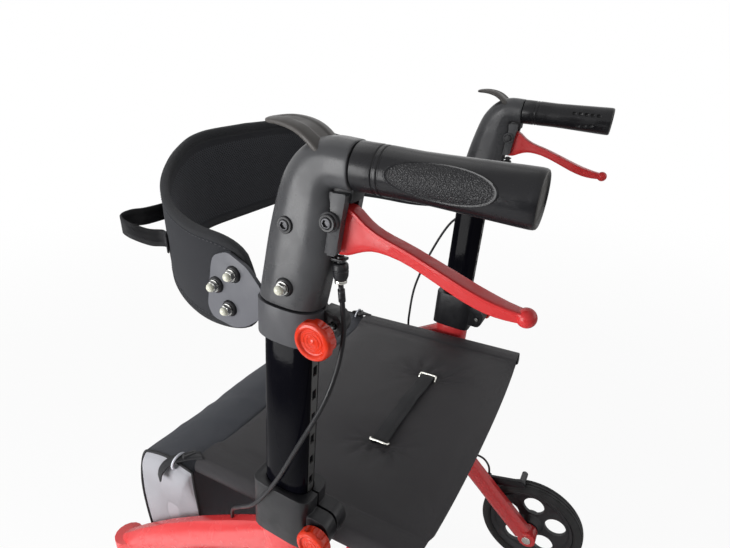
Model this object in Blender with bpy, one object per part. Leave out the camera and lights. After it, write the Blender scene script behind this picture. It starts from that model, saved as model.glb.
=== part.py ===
"""A four-wheel rollator that folds from side to side, modelled as separate pieces in metres.

X points to the user's right, Y forwards and Z up. The ground is at Z = 0 and the origin lies under
the middle of the object. Each moving piece hangs on an empty that stands on its joint's axis.
"""

import math

import bmesh
import bpy
from mathutils import Matrix, Vector

GAP = 0.0003            # clearance between pieces that touch
BEYOND = 0.030          # how far a cutting tool stands out past what it cuts
SIDES = (("left", -1), ("right", 1))

# Side frames and handle posts
FRAME_HALF = 0.250      # middle of a side frame, left and right of the centre
POST_TILT = math.radians(4.6)
SOCKET_Y = -0.0436      # middle of the post at the clamp's lower edge
SOCKET_Z = 0.535
TUBE_HALF_X = 0.0140
TUBE_HALF_Y = 0.0250
TUBE_WALL = 0.0022
TUBE_TOP = 0.268        # heights along the post are measured from the clamp's lower edge
TUBE_BOTTOM = -0.130
SLOT_PITCH = 0.025
SLOT_COUNT = 8
SLOT_SIZE = (0.0060, 0.0100)
FIRST_SLOT = 0.020
SOCKET_WALL = 0.0035
SOCKET_RISE = 0.010     # how far the red tube reaches up into the clamp
SOCKET_FOOT = -0.243
SOCKET_BORE_FOOT = -0.185

# Wheels, casters and brakes
FRONT_RADIUS = 0.1270
REAR_RADIUS = 0.1000
TYRE_HALF = 0.0160
TYRE_HEIGHT = 0.0180
HUB_RADIUS = 0.0200
WHEEL_FACETS = 24
HUB_HALF = 0.0170
WEB_HALF = 0.0035
AXLE_RADIUS = 0.0055
AXLE_HEAD = 0.0030
AXLE_HEAD_RADIUS = 0.0085
CASTER_Y = 0.2550
CASTER_TRAIL = 0.0470
FRONT_AXLE_Y = CASTER_Y - CASTER_TRAIL
REAR_AXLE_Y = -0.2350
REAR_WHEEL_X = FRAME_HALF + 0.0335
TYRE_CLEARANCE = 0.0120  # from the front tyre up to the fork's crown
FORK_CROWN_FOOT = 2 * FRONT_RADIUS + TYRE_CLEARANCE
CROWN_HEIGHT = 0.0225
HEAD_RADIUS = 0.0190
HEAD_HEIGHT = 0.0575
HEAD_FOOT = FORK_CROWN_FOOT + CROWN_HEIGHT
HEAD_TOP = HEAD_FOOT + HEAD_HEIGHT
STEM_RADIUS = 0.0085
STEM_LENGTH = 0.0495
DROP_RADIUS = 0.0170    # the rear leg's end, which carries the rear axle
DROP_HALF = 0.0135
FORK_GAP = 0.0220
FORK_THICK = 0.0055
SHOE_RADIUS = 0.0060
SHOE_ANGLE = math.radians(75.0)  # where the shoe stands over the tyre, up from straight ahead
SHOE_GAP = 0.0030       # from the tyre to the open brake's shoe
SHOE_REACH = REAR_RADIUS + SHOE_RADIUS + SHOE_GAP
BRAKE_SHOE = (
    REAR_AXLE_Y + SHOE_REACH * math.cos(SHOE_ANGLE),
    REAR_RADIUS + SHOE_REACH * math.sin(SHOE_ANGLE),
)
CABLE_END_RISE = 0.0065
CABLE_END_RADIUS = 0.0050

# Tubes of the side frames
ARCH_POINTS = ((-0.045, 0.518), (0.065, 0.464), (0.165, 0.402), (CASTER_Y, HEAD_TOP - 0.020))
ARCH_HALF = (0.0140, 0.0200)
LEG_POINTS = ((-0.031, 0.298), (REAR_AXLE_Y + 0.011, REAR_RADIUS + 0.005))
LEG_HALF = (0.0140, 0.0190)
LEG_UP = (Vector(LEG_POINTS[0]) - Vector(LEG_POINTS[1])).normalized()
BAR_POINTS = ((-0.030, 0.300), (CASTER_Y - 0.007, HEAD_FOOT + 0.0175))
BAR_HALF = (0.0130, 0.0160)
BRAKE_RISE = 0.01696    # how much further than the tyre's radius the brake's pivot is up the leg
BRAKE_PIVOT = tuple(Vector(LEG_POINTS[1]) + LEG_UP * (REAR_RADIUS + BRAKE_RISE))

# Height clamp at the top of each side frame
CLAMP_HEIGHT = 0.062
CLAMP_WALL_X = 0.0065
CLAMP_WALL_Y = 0.0085
CLAMP_LUG_Y = -0.0460
CLAMP_LUG_RADIUS = 0.0105
CLAMP_LUG_HALF_X = 0.0160
CLAMP_LUG_HALF_Z = 0.0165
CLAMP_SLIT = 0.0020
CLAMP_KNOB_HEIGHT = 0.029
KNOB_RADIUS = 0.0165
KNOB_DEPTH = 0.0135
KNOB_DIP = 0.0016
KNOB_LOBES = 8
STUD_RADIUS = 0.0030
STUD_CLEARANCE = 0.0004

# Handle housing, grip and brake lever
HOUSING_PATH = (        # middle Y, middle Z, tilt from upright in degrees, half width, half depth
    (-0.0650, 0.7970, 4.6, 0.0185, 0.0290),
    (-0.0705, 0.8180, 9.0, 0.0184, 0.0288),
    (-0.0790, 0.8520, 13.2, 0.0182, 0.0280),
    (-0.0875, 0.8850, 15.0, 0.0180, 0.0250),
    (-0.0925, 0.8985, 32.0, 0.0179, 0.0215),
    (-0.1005, 0.9075, 57.0, 0.0177, 0.0190),
    (-0.1105, 0.9105, 80.0, 0.0175, 0.0177),
    (-0.1262, 0.9092, 94.0, 0.0172, 0.0172),
)
SKIRT_DEPTH = 0.0090    # how far the housing covers the top of the tube
SPIGOT_LENGTH = 0.045
HORN_PATH = (           # middle Y, middle Z, half width, half thickness
    (-0.1030, 0.9190, 0.0160, 0.0030),
    (-0.0930, 0.9290, 0.0172, 0.0030),
    (-0.0810, 0.9350, 0.0174, 0.0028),
    (-0.0690, 0.9372, 0.0168, 0.0026),
    (-0.0600, 0.9370, 0.0150, 0.0024),
    (-0.0565, 0.9362, 0.0110, 0.0020),
)
GRIP_START = (-0.1269, 0.9092)
GRIP_SLOPE = math.radians(4.0)
GRIP_CORE_RADIUS = 0.0110
GRIP_CORE_LENGTH = 0.098
GRIP_RINGS = (          # distance from the housing, half width, half height
    (0.0000, 0.0170, 0.0170),
    (0.0165, 0.0170, 0.0170),
    (0.0175, 0.0163, 0.0163),
    (0.0215, 0.0169, 0.0169),
    (0.0450, 0.0161, 0.0165),
    (0.0750, 0.0165, 0.0172),
    (0.1000, 0.0170, 0.0179),
    (0.1180, 0.0172, 0.0183),
    (0.1208, 0.0153, 0.0166),
    (0.1193, 0.0122, 0.0132),
)
PIVOT = (-0.1111, 0.8715)
LEVER_HUB_RADIUS = 0.0075
LEVER_HALF = 0.0066
LEVER_PATH = (          # middle Y, middle Z, half height, half width
    (-0.1100, 0.8640, 0.0170, 0.0066),
    (-0.1200, 0.8640, 0.0174, 0.0066),
    (-0.1285, 0.8620, 0.0138, 0.0064),
    (-0.1365, 0.8592, 0.0094, 0.0060),
    (-0.1450, 0.8566, 0.0064, 0.0057),
    (-0.1600, 0.8527, 0.0047, 0.0056),
    (-0.1780, 0.8465, 0.0043, 0.0057),
    (-0.1960, 0.8395, 0.0043, 0.0060),
    (-0.2130, 0.8335, 0.0045, 0.0064),
    (-0.2280, 0.8285, 0.0044, 0.0060),
    (-0.2430, 0.8258, 0.0040, 0.0052),
)
LEVER_BALL = (-0.2475, 0.8250)
LEVER_BALL_RADIUS = 0.0068
BRACKET_WALL = 0.0035
BRACKET_TOP = 0.8862
BRACKET_FOOT = 0.808
BRACKET_DEPTH = 0.0125  # how deep the bracket sits in the housing
BRACKET_REACH = 0.0030  # how far it stands out behind the housing
BRACKET_EAR_RADIUS = 0.0082
BRACKET_EAR_HALF = 0.0165
PIVOT_HEAD = 0.0033
PIVOT_HEAD_RADIUS = 0.0055
TAB_Z = 0.8400
TAB_THICK = 0.0030
TAB_REACH = 0.0150
ADJUSTER_RADIUS = 0.0060
ADJUSTER_LENGTH = 0.0150
CABLE_RADIUS = 0.0025
CABLE_Y = -0.1105       # the cable leaves the adjuster here
CABLE_Z = 0.8180
CABLE_ROUTES = {        # X is measured outwards from the middle of the side frame
    "left": (
        (0.000, CABLE_Y, CABLE_Z),
        (0.001, -0.1125, 0.7980),
        (0.004, -0.1148, 0.7780),
        (0.012, -0.1130, 0.7500),
        (0.020, -0.1040, 0.7180),
        (0.025, -0.0815, 0.6720),
        (0.026, -0.0520, 0.6160),
        (0.023, -0.0200, 0.5700),
        (0.013, 0.0130, 0.5380),
        (0.003, 0.0330, 0.5150),
        (0.000, 0.0390, 0.4980),
    ),
    "right": (
        (0.000, CABLE_Y, CABLE_Z),
        (0.001, -0.1125, 0.7980),
        (0.005, -0.1150, 0.7770),
        (0.015, -0.1120, 0.7555),
        (0.024, -0.0880, 0.7430),
        (0.026, -0.0530, 0.7340),
        (0.025, -0.0205, 0.7175),
        (0.022, 0.0125, 0.6590),
        (0.016, 0.0400, 0.5850),
        (0.004, 0.0450, 0.5260),
        (0.000, 0.0440, 0.4955),
    ),
}
CABLE_STEP = 0.0160
LOWER_CABLE_ROUTE = (
    (0.0170, -0.0980, 0.2310),
    (0.0190, -0.1110, 0.2355),
    (0.0200, -0.1270, 0.2315),
    (0.0200, -0.1380, 0.2180),
    (0.0200, -0.1413, 0.2000),
)

# Cap nuts and screws on the housings and plates
HOUSING_NUT = (-0.0713, 0.8150)
HOUSING_SCREW = (-0.0750, 0.8650)
SCREW_RADIUS = 0.0050
SCREW_FACE = 0.0190
NUT_WASHER = 0.0068
NUT_RADIUS = 0.0048
NUT_HEIGHT = 0.0110

# Backrest
COLLAR_HEIGHT = 0.0320
COLLAR_TOP = TUBE_TOP - 0.0070
COLLAR_FOOT = COLLAR_TOP - COLLAR_HEIGHT
COLLAR_WALL = 0.0050
COLLAR_SPLIT = 0.0010
COLLAR_LUG_Y = -0.0385
COLLAR_LUG_RADIUS = 0.0080
COLLAR_KNOB_HEIGHT = COLLAR_FOOT + 0.0200
COLLAR_LUG_HALF_X = 0.0160
COLLAR_KNOB_X = 0.0170
PLATE_THICK = 0.0040
PLATE_OUTLINE = (
    (-0.0355, 0.7990), (-0.0215, 0.8160), (-0.0010, 0.8265), (0.0150, 0.8210), (0.0190, 0.8130),
    (0.0290, 0.7700), (0.0240, 0.7590), (-0.0010, 0.7540), (-0.0160, 0.7590), (-0.0355, 0.7730),
)
PLATE_BOLTS = ((-0.0060, 0.8070), (0.0150, 0.7930), (0.0020, 0.7730))
PAD_CENTRE_Y = 0.008    # the corners of the band turn about this line
PAD_CORNER = 0.190
PAD_END_Y = -0.0240
PAD_THICK = 0.0130
PAD_HALF = FRAME_HALF + 0.0002
PAD_EDGES = (           # share of the way from the end to the middle, lowest Z, highest Z
    (0.00, 0.7650, 0.8080),
    (0.03, 0.7540, 0.8260),
    (0.09, 0.7480, 0.8370),
    (0.20, 0.7480, 0.8410),
    (0.35, 0.7570, 0.8500),
    (0.50, 0.7660, 0.8650),
    (0.65, 0.7710, 0.8830),
    (0.78, 0.7720, 0.8950),
    (1.00, 0.7720, 0.8980),
)
PAD_STATIONS = 32
STRAP_THICK = 0.0024
STRAP_LOOP_HALF = 0.0095
STRAP_ROOTS = (         # degrees round the pad's corner, Z
    (147.0, 0.8030), (141.0, 0.8035), (121.0, 0.8180), (115.0, 0.8180),
)
STRAP_LOOP = (          # the free part of the loop: X and Y from the corner's line, and Z
    (-0.1593, 0.1335, 0.8060),
    (-0.1718, 0.1475, 0.8160),
    (-0.1683, 0.1590, 0.8200),
    (-0.1533, 0.1620, 0.8210),
    (-0.1373, 0.1585, 0.8200),
)

# Folding cross brace, seat rails and seat
RAIL_X = FRAME_HALF - 0.035
RAIL_Z = 0.5115
RAIL_RADIUS = 0.0100
RAIL_REAR = -0.1710
RAIL_FRONT = 0.1160
RAIL_PLUG = 0.0040
BRACE_FOOT_Z = 0.262
BRACE_HALF_DEPTH = 0.0105
BRACE_HALF_THICK = 0.0080
BRACE_A_Y = -0.0350
BRACE_B_Y = -0.0165
BOLT_RADIUS = 0.0040
BOLT_HEAD_RADIUS = 0.0075
BOLT_HEAD = 0.0035
EAR_THICK = 0.0040
EAR_GAP = 0.0006
EAR_RADIUS = 0.0130
EAR_HEIGHT = 0.0340     # above the pivot, at the frame
EAR_SHOULDER = 0.0200   # above the pivot, over it
EAR_ROOT_X = FRAME_HALF - 0.0100
EAR_WEB_X = FRAME_HALF - 0.0175
SADDLE_Y = (-0.0670, -0.0490)
SADDLE_DEPTH = 0.0240
SEAT_REAR = -0.1737
SEAT_FRONT = 0.1184
SEAT_CLOTH = 0.0022
SEAT_WRAP = 0.01085     # radius of the seat's inner face round a rail
SEAT_PAD = 0.0120
SEAT_SAG = 0.0060
SEAT_MARGIN = 0.0300    # width of the thin strip beside each rail
SEAT_STATIONS = 13
STRAP_X = 0.0825
STRAP_Y = (-0.0757, -0.0507)
LIFT_THICK = 0.0018
LOOP_RADIUS = 0.0017

# Storage bag in front of the seat
BAG_HALF = FRAME_HALF - 0.0200
BAG_SAG = 0.0120
BAG_ENDS = (            # share of the half width, size of the section there
    (-1.0, 0.88), (-0.98, 1.0), (-0.5, 1.0), (0.0, 1.0), (0.5, 1.0), (0.98, 1.0), (1.0, 0.88),
)
BAG_SHOULDER_Z = 0.5080  # the bag's rear upper edge hangs on the ends of the seat rails
BAG_SECTION = (
    (0.1600, 0.5130), (0.1960, 0.5080), (0.2100, 0.4990), (0.2230, 0.4650),
    (0.2290, 0.4200), (0.2260, 0.3650), (0.2140, 0.3180), (0.1900, 0.2930), (0.1500, 0.2880),
    (0.1250, 0.3080), (0.1180, 0.3500), (0.1180, 0.4200), (0.1205, 0.4800),
)

# Colours as red, green and blue, then roughness and metallic value
RED = ((0.62, 0.03, 0.03), 0.30, 0.0)
KNOB_RED = ((0.85, 0.10, 0.05), 0.25, 0.0)
LEVER_RED = ((0.80, 0.09, 0.08), 0.35, 0.0)
GLOSS_BLACK = ((0.015, 0.015, 0.018), 0.18, 0.0)
GREY = ((0.095, 0.097, 0.105), 0.55, 0.0)
BLACK = ((0.02, 0.02, 0.022), 0.60, 0.0)
RUBBER = ((0.025, 0.025, 0.025), 0.80, 0.0)
CLOTH = ((0.045, 0.047, 0.052), 0.90, 0.0)
BAG_CLOTH = ((0.07, 0.08, 0.10), 0.50, 0.0)
RIM = ((0.10, 0.10, 0.11), 0.45, 0.0)
STEEL = ((0.70, 0.70, 0.68), 0.30, 1.0)


def material(name, look):
    """A Principled material with one colour, roughness and metallic value."""
    made = bpy.data.materials.get(name)
    if made is None:
        made = bpy.data.materials.new(name)
        made.use_nodes = True
        shader = made.node_tree.nodes["Principled BSDF"]
        colour, roughness, metallic = look
        shader.inputs["Base Color"].default_value = (*colour, 1.0)
        shader.inputs["Roughness"].default_value = roughness
        shader.inputs["Metallic"].default_value = metallic
    return made


def new_object(name, bm):
    """Turns a bmesh into an object in the scene, with its faces pointing out."""
    bmesh.ops.remove_doubles(bm, verts=bm.verts, dist=1e-6)
    bmesh.ops.recalc_face_normals(bm, faces=bm.faces)
    mesh = bpy.data.meshes.new(name)
    bm.to_mesh(mesh)
    bm.free()
    made = bpy.data.objects.new(name, mesh)
    bpy.context.scene.collection.objects.link(made)
    return made


def finish(made, look_name, look, parent=None, smooth=35):
    """Gives a piece its material and shading, and hangs it on its joint's empty."""
    made.data.materials.clear()
    made.data.materials.append(material(look_name, look))
    made.data.shade_smooth()
    made.data.set_sharp_from_angle(angle=math.radians(smooth))
    if parent is not None:
        made.data.transform(Matrix.Translation(-parent.location))
        made.parent = parent
    return made


def combine(target, operation, *tools):
    """Unites the target with other solids, or cuts them out of it, and keeps the result as its mesh."""
    for tool in tools:
        modifier = target.modifiers.new("cut", "BOOLEAN")
        modifier.object = tool
        modifier.operation = operation
        modifier.solver = "EXACT"
    graph = bpy.context.evaluated_depsgraph_get()
    graph.update()
    mesh = bpy.data.meshes.new_from_object(target.evaluated_get(graph))
    target.modifiers.clear()
    target.data = mesh
    for tool in tools:
        bpy.data.objects.remove(tool)
    return target


def unite(target, *tools):
    return combine(target, "UNION", *tools)


def cut(target, *tools):
    return combine(target, "DIFFERENCE", *tools)


def loft(name, rings, closed=False):
    """A solid through rings of as many points each. A closed one joins its last ring to its first."""
    bm = bmesh.new()
    loops = [[bm.verts.new(point) for point in ring] for ring in rings]
    pairs = list(zip(loops, loops[1:]))
    if closed:
        pairs.append((loops[-1], loops[0]))
    for low, high in pairs:
        for i in range(len(low)):
            j = (i + 1) % len(low)
            bm.faces.new((low[i], low[j], high[j], high[i]))
    if not closed:
        bm.faces.new(reversed(loops[0]))
        bm.faces.new(loops[-1])
    return new_object(name, bm)


def oval(half_x, half_y, count=16, power=2.6):
    """Points round a superellipse, which lies between an ellipse and a rounded rectangle."""
    points = []
    for i in range(count):
        angle = 2 * math.pi * (i + 0.5) / count
        c, s = math.cos(angle), math.sin(angle)
        x = half_x * math.copysign(abs(c) ** (2 / power), c)
        y = half_y * math.copysign(abs(s) ** (2 / power), s)
        points.append((x, y))
    return points


def upright(name, outline, foot, top):
    """An outline in X and Y, drawn up from one height to another."""
    return loft(name, [[(x, y, z) for x, y in outline] for z in (foot, top)])


def along_x(name, outline, start, end):
    """An outline in Y and Z, drawn along X."""
    return loft(name, [[(x, y, z) for y, z in outline] for x in (start, end)])


def along_y(name, outline, start, end):
    """An outline in X and Z, drawn along Y."""
    return loft(name, [[(x, y, z) for x, z in outline] for y in (start, end)])


def circle(centre, radius, count=16):
    angles = [2 * math.pi * i / count for i in range(count)]
    return [(centre[0] + radius * math.cos(a), centre[1] + radius * math.sin(a)) for a in angles]


def pin_x(name, centre, radius, start, end, count=16):
    """A round pin along X about a centre in Y and Z."""
    return along_x(name, circle(centre, radius, count), start, end)


def pin_y(name, centre, radius, start, end, count=16):
    """A round pin along Y about a centre in X and Z."""
    return along_y(name, circle(centre, radius, count), start, end)


def block(name, low, high):
    outline = [(low[1], low[2]), (high[1], low[2]), (high[1], high[2]), (low[1], high[2])]
    return along_x(name, outline, low[0], high[0])


def spanned(name, x_a, x_b, low, high):
    """A block between two X values in either order, and between two corners of Y and Z."""
    return block(name, (min(x_a, x_b), *low), (max(x_a, x_b), *high))


def pin_z(name, centre, radius, foot, top, count=12):
    """A round pin along Z about a centre in X and Y."""
    return loft(name, [[(x, y, z) for x, y in circle(centre, radius, count)] for z in (foot, top)])


def turned_x(name, profile, centre, count=28):
    """A profile of X and radius, a closed loop, turned about a line along X through a centre in Y and Z.

    The flats of its facets touch the true radius, and one of them faces straight down.
    """
    rings = []
    for i in range(count):
        angle = 2 * math.pi * (i + 0.5) / count
        c, s = math.cos(angle) / math.cos(math.pi / count), math.sin(angle) / math.cos(math.pi / count)
        rings.append([(x, centre[0] + r * c, centre[1] + r * s) for x, r in profile])
    return loft(name, rings, closed=True)


def solid_turned_x(name, profile, centre, count=16):
    """A profile of X and radius from end to end, turned into a solid with flat ends."""
    rings = []
    for x, r in profile:
        rings.append([(x, y, z) for y, z in circle(centre, r, count)])
    return loft(name, rings)


def bezier(points, share):
    a, b, c, d = (Vector(p) for p in points)
    t, u = share, 1 - share
    return a * u**3 + b * (3 * u * u * t) + c * (3 * u * t * t) + d * t**3


def swept(name, path, halves, x_middle, count=12, power=2.4):
    """An oval tube along a path of Y and Z, at one X."""
    rings = []
    for i, point in enumerate(path):
        before, after = path[max(i - 1, 0)], path[min(i + 1, len(path) - 1)]
        direction = (Vector(after) - Vector(before)).normalized()
        normal = Vector((direction.y, -direction.x))
        ring = []
        for x, d in oval(halves[0], halves[1], count, power):
            ring.append((x_middle + x, point[0] + normal.x * d, point[1] + normal.y * d))
        rings.append(ring)
    return loft(name, rings)


def smooth_route(points, step):
    """Points at even steps along a smooth curve through the route's own points."""
    points = [Vector(p) for p in points]
    ends = [points[0] * 2 - points[1]] + points + [points[-1] * 2 - points[-2]]
    fine = []
    for a, b, c, d in zip(ends, ends[1:], ends[2:], ends[3:]):
        for i in range(24):
            t = i / 24
            bend = (a * 2 - b * 5 + c * 4 - d) * t * t
            twist = (b * 3 - a - c * 3 + d) * t**3
            fine.append(0.5 * (b * 2 + (c - a) * t + bend + twist))
    fine.append(points[-1])
    lengths = [0.0]
    for a, b in zip(fine, fine[1:]):
        lengths.append(lengths[-1] + (b - a).length)
    count = max(2, round(lengths[-1] / step))
    route, k = [], 0
    for i in range(count + 1):
        wanted = lengths[-1] * i / count
        while k < len(lengths) - 2 and lengths[k + 1] < wanted:
            k += 1
        share = (wanted - lengths[k]) / (lengths[k + 1] - lengths[k])
        route.append(fine[k].lerp(fine[k + 1], share))
    return route


def cable(name, points, radius, step):
    """A round cable on a smooth curve through the points."""
    curve = bpy.data.curves.new(name, "CURVE")
    curve.dimensions = "3D"
    curve.bevel_depth = radius
    curve.bevel_resolution = 1
    curve.use_fill_caps = True
    route = smooth_route(points, step)
    spline = curve.splines.new("POLY")
    spline.points.add(len(route) - 1)
    for point, place in zip(spline.points, route):
        point.co = (*place, 1.0)
    made = bpy.data.objects.new(name, curve)
    bpy.context.scene.collection.objects.link(made)
    return made


def post_matrix(side):
    """From heights along a handle post, and X and Y across it, to the object's frame."""
    place = Matrix.Translation((side * FRAME_HALF, SOCKET_Y, SOCKET_Z))
    return place @ Matrix.Rotation(POST_TILT, 4, "X")


def on_post(made, side):
    made.data.transform(post_matrix(side))
    return made


def empty(name, place):
    made = bpy.data.objects.new(name, None)
    made.location = place
    bpy.context.scene.collection.objects.link(made)
    return made


def capsule_outline(centre_y, radius, reach_y, half_height, count=8):
    """A lug's outline in Y and Z: a half circle at its rear, with straight sides forward to reach_y."""
    points = [(reach_y, -half_height), (reach_y, half_height)]
    for i in range(count + 1):
        angle = math.pi / 2 + math.pi * i / count
        points.append((centre_y + radius * math.cos(angle), half_height * math.sin(angle)))
    return points


def shifted(outline, height):
    return [(y, z + height) for y, z in outline]


def knob(name, centre_y, height, start, side):
    """A clamp knob with a scalloped rim and a dished face, on its threaded stud, in a post's frame."""
    count = 3 * KNOB_LOBES
    rings = []
    for x, share, wave in ((0.0, 0.82, 0.3), (0.0030, 1.0, 1.0), (0.0105, 0.98, 1.0),
                           (KNOB_DEPTH, 0.78, 0.3), (KNOB_DEPTH - KNOB_DIP, 0.55, 0.0)):
        ring = []
        for i in range(count):
            angle = 2 * math.pi * i / count
            dip = 1.0 - 0.10 * wave * max(0.0, math.cos(KNOB_LOBES * angle)) ** 2
            r = KNOB_RADIUS * share * dip
            ring.append((side * (start + x), centre_y + r * math.cos(angle), height + r * math.sin(angle)))
        rings.append(ring)
    made = loft(name, rings)
    inner_end = -CLAMP_LUG_HALF_X - 0.004
    stud = pin_x("stud", (centre_y, height), STUD_RADIUS, side * inner_end, side * (start + 0.004), 8)
    return unite(made, stud)


def socket_oval(extra, count=16):
    return oval(TUBE_HALF_X + extra, TUBE_HALF_Y + extra, count)


def side_frame(side, name, brace_y, parent):
    """The red welded frame of one side: socket, arch, lower bar, rear leg, caster head and brace ears."""
    x = side * FRAME_HALF
    outside = socket_oval(GAP + SOCKET_WALL)
    frame = on_post(upright(f"side_frame_{name}", outside, SOCKET_FOOT, SOCKET_RISE), side)
    arch = swept("arch", [bezier(ARCH_POINTS, i / 5) for i in range(6)], ARCH_HALF, x)
    leg = swept("leg", LEG_POINTS, LEG_HALF, x)
    bar = swept("bar", BAR_POINTS, BAR_HALF, x)
    head = pin_z("head", (x, CASTER_Y), HEAD_RADIUS, HEAD_FOOT, HEAD_TOP, 16)
    drop = pin_x("drop", (REAR_AXLE_Y, REAR_RADIUS), DROP_RADIUS, x - DROP_HALF, x + DROP_HALF, 14)
    unite(frame, arch, leg, bar, head, drop)
    pivot_x = side * RAIL_X
    root_x, web_x = side * EAR_ROOT_X, side * EAR_WEB_X
    low, high = BRACE_FOOT_Z - EAR_RADIUS, BRACE_FOOT_Z + EAR_HEIGHT
    outline = [(root_x, low), (root_x, high), (pivot_x, BRACE_FOOT_Z + EAR_SHOULDER)]
    for i in range(1, 6):
        angle = math.pi * i / 5
        across, up = EAR_RADIUS * math.sin(angle), EAR_RADIUS * math.cos(angle)
        outline.append((pivot_x - side * across, BRACE_FOOT_Z + up))
    ears = []
    for toward in (-1, 1):
        near = brace_y + toward * (BRACE_HALF_THICK + EAR_GAP)
        far = near + toward * EAR_THICK
        ears.append(along_y("ear", outline, min(near, far), max(near, far)))
    depth = BRACE_HALF_THICK + EAR_THICK
    web = spanned("web", root_x, web_x, (brace_y - depth, low), (brace_y + depth, high))
    unite(frame, *ears, web)
    bore = on_post(upright("bore", socket_oval(GAP), SOCKET_BORE_FOOT, SOCKET_RISE + BEYOND), side)
    stem_top = HEAD_FOOT + STEM_LENGTH + 0.003
    stem = pin_z("stem", (x, CASTER_Y), STEM_RADIUS + GAP, HEAD_FOOT - BEYOND, stem_top)
    axle = pin_x("axle", (REAR_AXLE_Y, REAR_RADIUS), AXLE_RADIUS + GAP, x - BEYOND, x + BEYOND, 12)
    bolt = pin_y("bolt", (pivot_x, BRACE_FOOT_Z), BOLT_RADIUS + GAP, brace_y - BEYOND, brace_y + BEYOND, 12)
    outer = side * (FRAME_HALF + BEYOND)
    brake = pin_x("brake", BRAKE_PIVOT, STUD_RADIUS + GAP, side * (FRAME_HALF - 0.003), outer, 10)
    cut(frame, bore, stem, axle, bolt, brake)
    return finish(frame, "red_paint", RED, parent)


def clamp_collar(side, name, parent):
    """The black clamp on top of a side frame: it grips the handle tube when its knob is turned."""
    outline = oval(TUBE_HALF_X + CLAMP_WALL_X, TUBE_HALF_Y + CLAMP_WALL_Y, 20, 5.0)
    collar = upright(f"clamp_collar_{name}", outline, GAP, CLAMP_HEIGHT)
    lug_outline = capsule_outline(CLAMP_LUG_Y, CLAMP_LUG_RADIUS, -TUBE_HALF_Y - 0.004, CLAMP_LUG_HALF_Z)
    lug_outline = shifted(lug_outline, CLAMP_KNOB_HEIGHT)
    unite(collar, along_x("lug", lug_outline, -CLAMP_LUG_HALF_X, CLAMP_LUG_HALF_X))
    top = CLAMP_HEIGHT + BEYOND
    bore = upright("bore", socket_oval(GAP), -BEYOND, top)
    seat = upright("seat", socket_oval(GAP + SOCKET_WALL + GAP), -BEYOND, SOCKET_RISE + GAP)
    half = CLAMP_SLIT / 2
    slit = block("slit", (-half, -0.08, -BEYOND), (half, -TUBE_HALF_Y + 0.004, top))
    stud = STUD_RADIUS + STUD_CLEARANCE
    hole = pin_x("hole", (CLAMP_LUG_Y, CLAMP_KNOB_HEIGHT), stud, -BEYOND, BEYOND, 10)
    cut(collar, bore, seat, slit, hole)
    return finish(on_post(collar, side), "black_plastic", BLACK, parent)


def handle_tube(side, name, parent):
    """The gloss black oval tube that slides in the frame, hollow, with a row of index slots behind."""
    tube = upright(f"handle_tube_{name}", oval(TUBE_HALF_X, TUBE_HALF_Y), TUBE_BOTTOM, TUBE_TOP)
    inside = oval(TUBE_HALF_X - TUBE_WALL, TUBE_HALF_Y - TUBE_WALL)
    tools = [upright("inside", inside, TUBE_BOTTOM - BEYOND, TUBE_TOP + BEYOND)]
    for i in range(SLOT_COUNT):
        low = FIRST_SLOT + i * SLOT_PITCH
        tools.append(block("slot", (-SLOT_SIZE[0] / 2, -TUBE_HALF_Y - 0.005, low),
                           (SLOT_SIZE[0] / 2, -TUBE_HALF_Y + 0.006, low + SLOT_SIZE[1])))
    cut(tube, *tools)
    return finish(on_post(tube, side), "gloss_black", GLOSS_BLACK, parent)


def housing_ring(x, y, z, tilt, half_x, half_y, count=14):
    """An oval ring about a point of the housing's middle line, square to that line."""
    forward = Vector((math.cos(tilt), math.sin(tilt)))
    return [(x + a, y + forward.x * b, z + forward.y * b) for a, b in oval(half_x, half_y, count, 2.4)]


def rear_line():
    """Where the housing's rear face starts and ends beside the lever bracket, as two points of Y and Z."""
    found = []
    for y, z, tilt, _, half_y in (HOUSING_PATH[1], HOUSING_PATH[3]):
        angle = math.radians(tilt)
        found.append(Vector((y - half_y * math.cos(angle), z - half_y * math.sin(angle))))
    return found


def bracket_outline(inward, outward, longer=0.0):
    """The lever bracket's outline in Y and Z, between two distances from the housing's rear face."""
    low, high = rear_line()
    up = (high - low).normalized()
    out = Vector((-up.y, up.x))
    foot = low + up * ((BRACKET_FOOT - low.y) / up.y - longer)
    top = low + up * ((BRACKET_TOP - low.y) / up.y + longer)
    corners = (foot - out * inward, foot + out * outward, top + out * outward, top - out * inward)
    return [tuple(corner) for corner in corners]


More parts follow.
